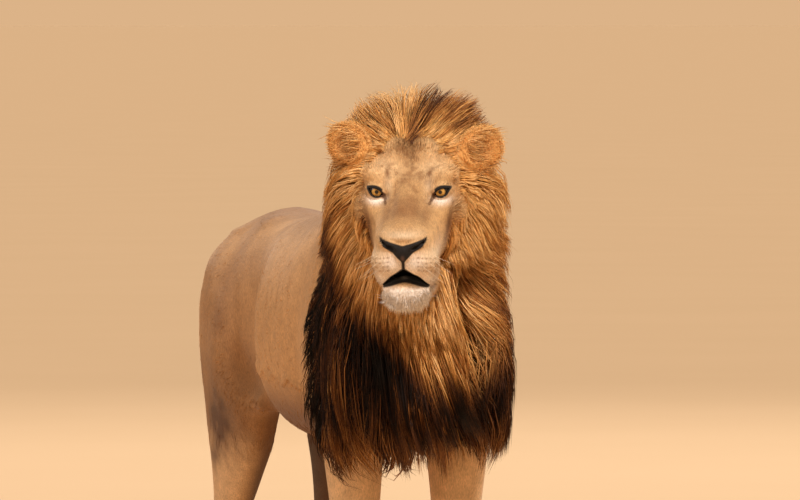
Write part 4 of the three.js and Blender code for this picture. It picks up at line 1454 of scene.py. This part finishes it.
def ear_zone(q):
    """Below 1 on the ears."""
    best = np.full(len(q), 9.0)
    for side in (1, -1):
        v = ear_frame(q, side)
        best = np.minimum(best, np.linalg.norm((v - (0, 2, -2)) / (53, 34, 55), axis=1))
    return best


def coat_lie(p):
    """The way the short coat lies: back along the trunk, down the legs, away from the nose on the face."""
    y, z = p[:, 1], p[:, 2]
    d = np.column_stack((np.zeros(len(p)), np.ones(len(p)), -0.30 - 0.5 * soft(-z, -900, -700)))
    d = mixed(unit(d), np.tile((0, 0.27, -0.96), (len(p), 1)), soft(-z, -720, -560))
    d = mixed(d, np.tile((0, 0.05, -1.0), (len(p), 1)), soft(y, 1215, 1250) * soft(-z, -1000, -930))
    q = to_head(p)
    v = unit(q - np.array((0, -172, -84)))
    v[:, 2] -= 0.35 * soft(-q[:, 2], 100, 140) + 1.2 * soft(-q[:, 2], 172, 190)
    d = mixed(d, unit(v) @ HEAD_TURN.T, head_share(q))
    for side in (1, -1):
        v = ear_frame(q, side)
        on = soft(-np.linalg.norm(v / (56, 44, 60), axis=1), -1.15, -0.95)
        up = unit(v - np.array((-side * 16, 0, -46))) @ EAR_TURN[side].T @ HEAD_TURN.T
        d = mixed(d, up, on)
    return unit(d)


def coat_size(p, q, head):
    """Length and width of the tufts in mm at each point: smallest on the face and feet."""
    y, z = p[:, 1], p[:, 2]
    length = 20.0 - 5.0 * soft(-z, -640, -420) - 4.0 * soft(-z, -130, -70)
    width = 2.3 - 0.4 * soft(-z, -640, -420) - 0.4 * soft(-z, -130, -70)
    belly = soft(-z, -640, -585) * soft(z, 520, 560) * soft(y, 60, 200)
    length += 13.0 * belly
    length += 9.0 * spot(p, (0, 70, 560), (300, 60, 150)) + 10.0 * spot(p, (0, 1190, 560), (300, 50, 160))
    near_nose = np.linalg.norm(q - np.array((0, -160, -90)), axis=1)
    face = np.interp(near_nose, (20, 70, 130, 220, 300), (4.0, 6.0, 8.0, 11.0, 18.0))
    face += 11.0 * soft(face_edge(q), 0.84, 1.0)
    face += 17.0 * soft(-q[:, 2], 180, 206) * soft(-q[:, 1], 60, 80)
    face += 12.0 * spot(mirrored(q), (104, 62, 44), (26, 40, 34))
    ears = soft(-ear_zone(q), -1.1, -0.95)
    face = face * (1 - ears) + 14.0 * ears
    length = length * (1 - head) + face * head
    width = width * (1 - head) + np.interp(face, (5, 14, 24), (0.9, 1.4, 1.9)) * head
    return length, width


def coat_places(name, p, q):
    """Where each root lies on an unwrap of its own part of the skin."""
    if name == "coat_face":
        return spread(np.arctan2(q[:, 0], 60 - q[:, 1]), q[:, 2])
    if name.startswith("coat_trunk"):
        return spread(np.arctan2(p[:, 0], p[:, 2] - 830), p[:, 1])
    out = np.zeros((len(p), 2))
    if name == "coat_ears":
        for k, side in enumerate((1, -1)):
            v = ear_frame(q, side)
            for back in (0, 1):
                mine = (q[:, 0] * side > 0) & ((v[:, 1] > 6) == bool(back))
                if mine.any():
                    out[mine] = (spread(v[mine, 0], v[mine, 2]) + (k, back)) * 0.5
        return out
    # round each leg's middle, the left legs in one half of the map and the right ones in the other
    hind = name == "coat_hind"
    left = p[:, 0] > (HIP_SHIFT if hind else 0)
    middle = np.interp(p[:, 2], (0, 345, 620), (1080, 1123, 1002)) if hind else np.full(len(p), -5.0)
    for k, (side, mine) in enumerate(((1, left), (-1, ~left))):
        if mine.any():
            turn = np.arctan2(p[mine, 0] - side * 112, p[mine, 1] - middle[mine])
            out[mine] = spread(turn, p[mine, 2]) * (0.5, 1.0) + (0.5 * k, 0)
    return out


# the coat's pieces and how many tufts each has
COATS = (("coat_face", 19500), ("coat_ears", 3200), ("coat_trunk_left", 13000), ("coat_trunk_right", 13000),
         ("coat_fore", 6000), ("coat_hind", 8500))


def coat_part(name, p, q):
    """Which part of the skin a coat piece grows on."""
    ears = ear_zone(q) < 1.0
    face = (head_share(q) > 0.5) & (q[:, 1] < 110) & ~ears & (mane_ground(p, q) < 0.6)
    if name == "coat_face":
        return face
    if name == "coat_ears":
        return ears
    body = ~face & ~ears & (mane_ground(p, q) < 0.6) & (-mane_hull(p) * (p[:, 1] < -60) < 60)
    low = p[:, 2] <= 640
    tail = (p[:, 1] > 1225) & (p[:, 2] < 960)
    if name == "coat_fore":
        return body & low & (p[:, 1] < 330)
    if name == "coat_hind":
        return body & (low & (p[:, 1] >= 700) | tail) & ~((p[:, 1] > 1235) & (p[:, 2] < 330))
    trunk = body & ~(low & ((p[:, 1] < 330) | (p[:, 1] >= 700))) & ~tail
    return trunk & ((p[:, 0] >= 0) == (name == "coat_trunk_left"))


def coat_density(name, p):
    """Where a coat piece's tufts grow: not on black skin, more on nose, chin, hairline and feet."""
    q = to_head(p)
    w = coat_part(name, p, q).astype(float)
    on = w > 0
    bright = np.zeros(len(p))
    bright[on] = markings(p[on]).sum(1)
    bare = (bright < 0.075) & (q[:, 1] < 10) & (head_share(q) > 0.5)
    w *= ~bare & (p[:, 2] > 14)
    if name == "coat_face":
        w *= 1 + 1.5 * soft(-np.linalg.norm(q - np.array((0, -150, -110)), axis=1), -90, -40)
        w *= 1 + 1.6 * soft(-q[:, 2], 170, 185)
        w *= 1 + 0.8 * soft(face_edge(q), 0.85, 0.98)
        w *= 1 + 2.0 * soft(q[:, 1], 20, 50)
        in_eye = np.linalg.norm((mirrored(q) - (66, -26, -1)) / (21, 20, 12), axis=1) < 1
        w *= ~(mouth_gap(q) < 6.0) & ~in_eye
    elif name != "coat_ears":
        w *= 1 + 1.2 * soft(-p[:, 2], -130, -60) + 0.5 * soft(-p[:, 2], -640, -500)
    return w


class LION_OT_coat(bpy.types.Operator):
    """Build the short tufts that lie along the body, legs, face and ears"""
    bl_idname = "lion.coat"
    bl_label = "Short Coat"

    def execute(self, context):
        skin = bpy.data.objects["skin"].data
        tree = tuft_tree()
        material = long_hair_material("short_tufts", 0.7)
        for number, (name, count) in enumerate(COATS):
            rng = np.random.default_rng(40 + number)
            count = max(50, int(count * context.scene.lion.coat_share))
            roots, normals = scatter(skin, count, lambda p: coat_density(name, p), rng)
            q = to_head(roots)
            head = head_share(q)
            length, width = coat_size(roots, q, head)
            d = coat_lie(roots) + 0.16 * rng.normal(size=(count, 3)) + 0.35 * swirl(roots, 60.0, 31)
            d -= (d * normals).sum(1, keepdims=True) * normals
            lift = rng.uniform(0.0, 0.07, count) + 0.16 * (ear_zone(q) < 1) + 0.14 * head
            d = unit(unit(d) + normals * lift[:, None])
            length = length * rng.uniform(0.7, 1.2, count)
            width = width * rng.uniform(0.7, 1.2, count)
            # the tufts are painted brighter than the skin beneath them, as painted light against the shade
            # they cast on one another
            bright = 1.22 - 0.08 * head + 0.12 * rng.normal(size=count)
            bright += 0.16 * (noise(roots, 16.0, 33) - 0.5)
            tint = markings(roots) * bright[:, None]
            tint = np.clip(tint * np.minimum(1.0, 0.88 / tint.max(-1, keepdims=True)), 0.004, 0.9)
            size = np.column_stack((width * 0.27, width, length))
            obj = grow(tree, name, roots - normals * 0.8, d, normals, size, tint,
                       coat_places(name, roots, q), material)
            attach(obj, "root")
        return {"FINISHED"}


# ---------------------------------------------------------------- ears, tail's end and whiskers
def curve_hair(roots, ways, length, lift_way, lift, steps=4):
    """Short paths that leave along one way and arch over along another."""
    t = np.linspace(0, 1, steps + 1)[None, :, None]
    arch = np.sin(t * math.pi * 0.8) * lift[:, None, None]
    return roots[:, None, :] + ways[:, None, :] * (length[:, None, None] * t) + lift_way[:, None, :] * arch


def ear_hair(side, name, rng):
    """Long hair over one ear's opening, short hair deep in it, and a fringe round its rim."""
    n = 1300
    kind = rng.random(n)
    fringe, deep = kind > 0.72, kind < 0.34
    a = np.where(fringe, rng.uniform(0, 2 * math.pi, n), rng.normal(math.pi * 1.06, 0.75, n))
    r = np.where(fringe, rng.uniform(0.92, 1.08, n), rng.uniform(0.72, 1.05, n))
    r = np.where(deep, rng.uniform(0.1, 0.8, n), r)
    out = np.column_stack((side * np.cos(a), np.zeros(n), np.sin(a)))
    at = out * (38, 0, 40) * r[:, None]
    at[:, 1] = np.where(deep, 4.0, np.where(r < 0.9, -2.0, -9.0))
    over = np.column_stack((np.full(n, side * 0.9), np.full(n, -0.1), rng.normal(0.35, 0.35, n)))
    way = unit(np.where(fringe[:, None], out + (0, -0.25, 0), over) + rng.normal(0, 0.14, (n, 3)))
    length = np.where(fringe, rng.uniform(6, 13, n), rng.uniform(26, 56, n))
    length = np.where(deep, rng.uniform(18, 32, n), length)
    lift = np.where(fringe, 1.5, np.where(deep, 2.0, rng.uniform(3, 9, n)))
    forward = np.tile((0.0, -1.0, 0.0), (n, 1))
    path = curve_hair(at, way, length, forward, lift)
    path = from_head(path.reshape(-1, 3) @ EAR_TURN[side].T + EARS[side]).reshape(n, -1, 3)
    normals = forward @ EAR_TURN[side].T @ HEAD_TURN.T
    tone = np.where(fringe, rng.normal(0.05, 0.06, n), rng.normal(0.13, 0.14, n))
    tone = np.where(deep, rng.normal(0.12, 0.10, n), tone)
    # hair over the lower part of the opening is darker: painted shadow in the ear's cup
    tone += 0.22 * soft(-np.sin(a), 0.45, 0.9) * ~fringe - 0.06
    ends = np.linspace(0, 1, path.shape[1])[None, :]
    tint = hair_colour(tone[:, None] + 0.12 * (1 - ends)) * rng.uniform(0.85, 1.15, (n, 1, 1))
    place = spread(a, r)
    return locks("ear_hair_" + name, path, normals, rng.uniform(1.0, 2.0, n), tint, place)


def tail_hair(rng):
    """The dark hair at the tail's end."""
    n = 1500
    roots, normals = scatter(bpy.data.objects["skin"].data, n,
                             lambda p: ((p[:, 1] > 1240) & (p[:, 2] < 400)) * 1.0, rng)
    length = rng.uniform(45, 95, n) * np.clip((roots[:, 2] - 60) / 130, 0.25, 1)
    way = unit(np.tile((0.0, 0.03, -1.0), (n, 1)) + normals * rng.uniform(0.05, 0.3, n)[:, None]
               + rng.normal(0, 0.06, (n, 3)))
    path = curve_hair(roots, way, length, normals, rng.uniform(1, 6, n))
    tone = np.interp(roots[:, 2], (230, 380), (0.86, 0.45))[:, None] + rng.normal(0, 0.1, (n, 1))
    tint = hair_colour(tone + np.zeros((1, path.shape[1])))
    place = spread(np.arctan2(normals[:, 0], normals[:, 1]), roots[:, 2])
    return locks("tail_end_hair", path, normals, rng.uniform(1.6, 3.4, n), tint, place)


def whisker_hair(rng):
    """Stiff pale hairs from the dark spots of the upper lip."""
    grid = [(side, row, k) for side in (1, -1) for row in range(3) for k in range(3)]
    at = [(side * (34 + 9.0 * k), -142 + 6.0 * k, -110 - 9.0 * row) for side, row, k in grid]
    way = [(side * (0.75 + 0.1 * k), -0.10 + 0.1 * k, -0.30 - 0.12 * row) for side, row, k in grid]
    n = len(grid)
    at = settle(head_shape, np.array(at, float), 0.5, 3, 8.0)
    way = unit(np.array(way) + rng.normal(0, 0.1, (n, 3)))
    length = np.array([34 + 13 * k for _, _, k in grid]) * rng.uniform(0.7, 1.15, n)
    path = curve_hair(at, way, length, np.tile((0.0, 0.2, -1.0), (n, 1)), length * 0.12)
    path[:, 2:] += np.linspace(0, 1, 3)[None, :, None] ** 2 * np.array((0, 8.0, -9.0))
    path = from_head(path.reshape(-1, 3)).reshape(n, -1, 3)
    tint = np.tile(INK["cream"], (n, path.shape[1], 1))
    normals = np.tile(np.array((0.0, -1.0, 0.0)) @ HEAD_TURN.T, (n, 1))
    return locks("whiskers", path, normals, np.full(n, 0.7), tint, spread(path[:, 0, 0], path[:, 0, 2]), 1.0)


class LION_OT_trim(bpy.types.Operator):
    """Build the hair of the ears, the tail's end and the whiskers"""
    bl_idname = "lion.trim"
    bl_label = "Ears, Tail and Whiskers"

    def execute(self, context):
        rng = np.random.default_rng(77)
        material = bpy.data.materials["mane_hair"]
        for side, name in SIDES:
            finish_piece(ear_hair(side, name, rng), material)
        finish_piece(tail_hair(rng), material)
        finish_piece(whisker_hair(rng), material)
        return {"FINISHED"}


# ---------------------------------------------------------------- floor, light and camera
def put(name, data, place, way, axis="-Z"):
    """An object of a light or camera at a place, with one of its axes along a way."""
    obj = bpy.data.objects.new(name, data)
    obj.location = place
    obj.rotation_euler = way.to_track_quat(axis, "Y").to_euler()
    bpy.context.collection.objects.link(obj)
    return obj


def two_colours(tree, share, low, high):
    """A mix of two linear colours by a share."""
    mix = node(tree, "ShaderNodeMix", {"data_type": "RGBA"}, Factor=share)
    mix.inputs[6].default_value, mix.inputs[7].default_value = (*low, 1), (*high, 1)
    return mix.outputs[2]


class LION_OT_stage(bpy.types.Operator):
    """Build the pale floor, the studio light and the camera"""
    bl_idname = "lion.stage"
    bl_label = "Stage"

    def execute(self, context):
        scene = context.scene
        half = 2000.0
        corners = np.array([(-half, -half, 0), (half, -half, 0), (half, half, 0), (-half, half, 0)])
        floor = mesh_from("floor", corners, np.array([[0, 1, 2, 3]]))
        material, tree, body = new_material("pale_floor", Roughness=0.9, Specular_IOR_Level=0.1)
        where = node(tree, "ShaderNodeTexCoord").outputs["Object"]
        cloud = node(tree, "ShaderNodeTexNoise", Vector=where, Scale=0.8, Detail=2.0).outputs[0]
        tree.links.new(two_colours(tree, cloud, ink("#CBAA86"), ink("#CFAE8A")), body.inputs["Base Color"])
        floor.data.materials.append(material)
        # the studio's far wall is lit like the floor where it meets it
        world = bpy.data.worlds.new("studio")
        world.use_nodes = True
        tree = world.node_tree
        where = node(tree, "ShaderNodeTexCoord").outputs["Generated"]
        level = node(tree, "ShaderNodeSeparateXYZ", Vector=where).outputs["Z"]
        climb = node(tree, "ShaderNodeMapRange", Value=level, From_Min=0.02, From_Max=0.12).outputs[0]
        back = tree.nodes["Background"]
        tree.links.new(two_colours(tree, climb, ink("#DCB388"), 0.5 * ink("#F2E2CE")), back.inputs[0])
        back.inputs[1].default_value = 1.0
        scene.world = world
        key = bpy.data.lights.new("key", "SUN")
        key.energy, key.angle, key.color = 3.0, math.radians(9), (1.0, 0.95, 0.87)
        put("key", key, (0, 0, 0), Vector((0.12, -0.62, 0.77)), "Z")
        centre = Vector((0.0, -0.25, 0.75))
        for name, place, size, power in (("side_fill", (-10.0, -4.0, 6.0), 5.0, 260.0),
                                         ("back_fill", (4.0, 11.0, 8.0), 7.0, 480.0)):
            light = bpy.data.lights.new(name, "AREA")
            light.size, light.energy, light.color = size, power, (1.0, 0.98, 0.95)
            put(name, light, place, centre - Vector(place))
        # far off with a long lens, level with the lion's eyes
        azimuth, distance, eye_level, aim_level = math.radians(-14.0), 18.0, 1.47, 0.9905
        back_way = Vector((math.sin(azimuth), -math.cos(azimuth), 0.0))
        right = Vector((math.cos(azimuth), math.sin(azimuth), 0.0))
        origin = Vector(TABLE_SHIFT / 1000.0)
        place = origin + back_way * distance + Vector((0, 0, eye_level))
        aim = origin + right * -0.0104 + Vector((0, 0, aim_level))
        camera = bpy.data.cameras.new("camera")
        camera.lens, camera.sensor_width, camera.clip_end = 388.8, 36.0, 6000.0
        scene.camera = put("camera", camera, place, aim - place)
        scene.view_settings.view_transform = "Standard"
        return {"FINISHED"}


class LION_PT_panel(bpy.types.Panel):
    """Steps that build the lion, in order"""
    bl_idname = "LION_PT_panel"
    bl_label = "Lion"
    bl_space_type = "VIEW_3D"
    bl_region_type = "UI"
    bl_category = "Lion"

    def draw(self, context):
        for name in LionSettings.__annotations__:
            self.layout.prop(context.scene.lion, name)
        for step in STEPS:
            self.layout.operator(step.bl_idname)


STEPS = (LION_OT_stage, LION_OT_skin, LION_OT_eyes, LION_OT_mane, LION_OT_coat, LION_OT_trim)
CLASSES = (LionSettings,) + STEPS + (LION_PT_panel,)


def register():
    for cls in CLASSES:
        bpy.utils.register_class(cls)
    bpy.types.Scene.lion = bpy.props.PointerProperty(type=LionSettings)


def unregister():
    del bpy.types.Scene.lion
    for cls in reversed(CLASSES):
        bpy.utils.unregister_class(cls)


def main():
    register()
    for step in STEPS:
        group, name = step.bl_idname.split(".")
        getattr(getattr(bpy.ops, group), name)()
    bpy.context.view_layer.update()


if __name__ == "__main__":
    main()
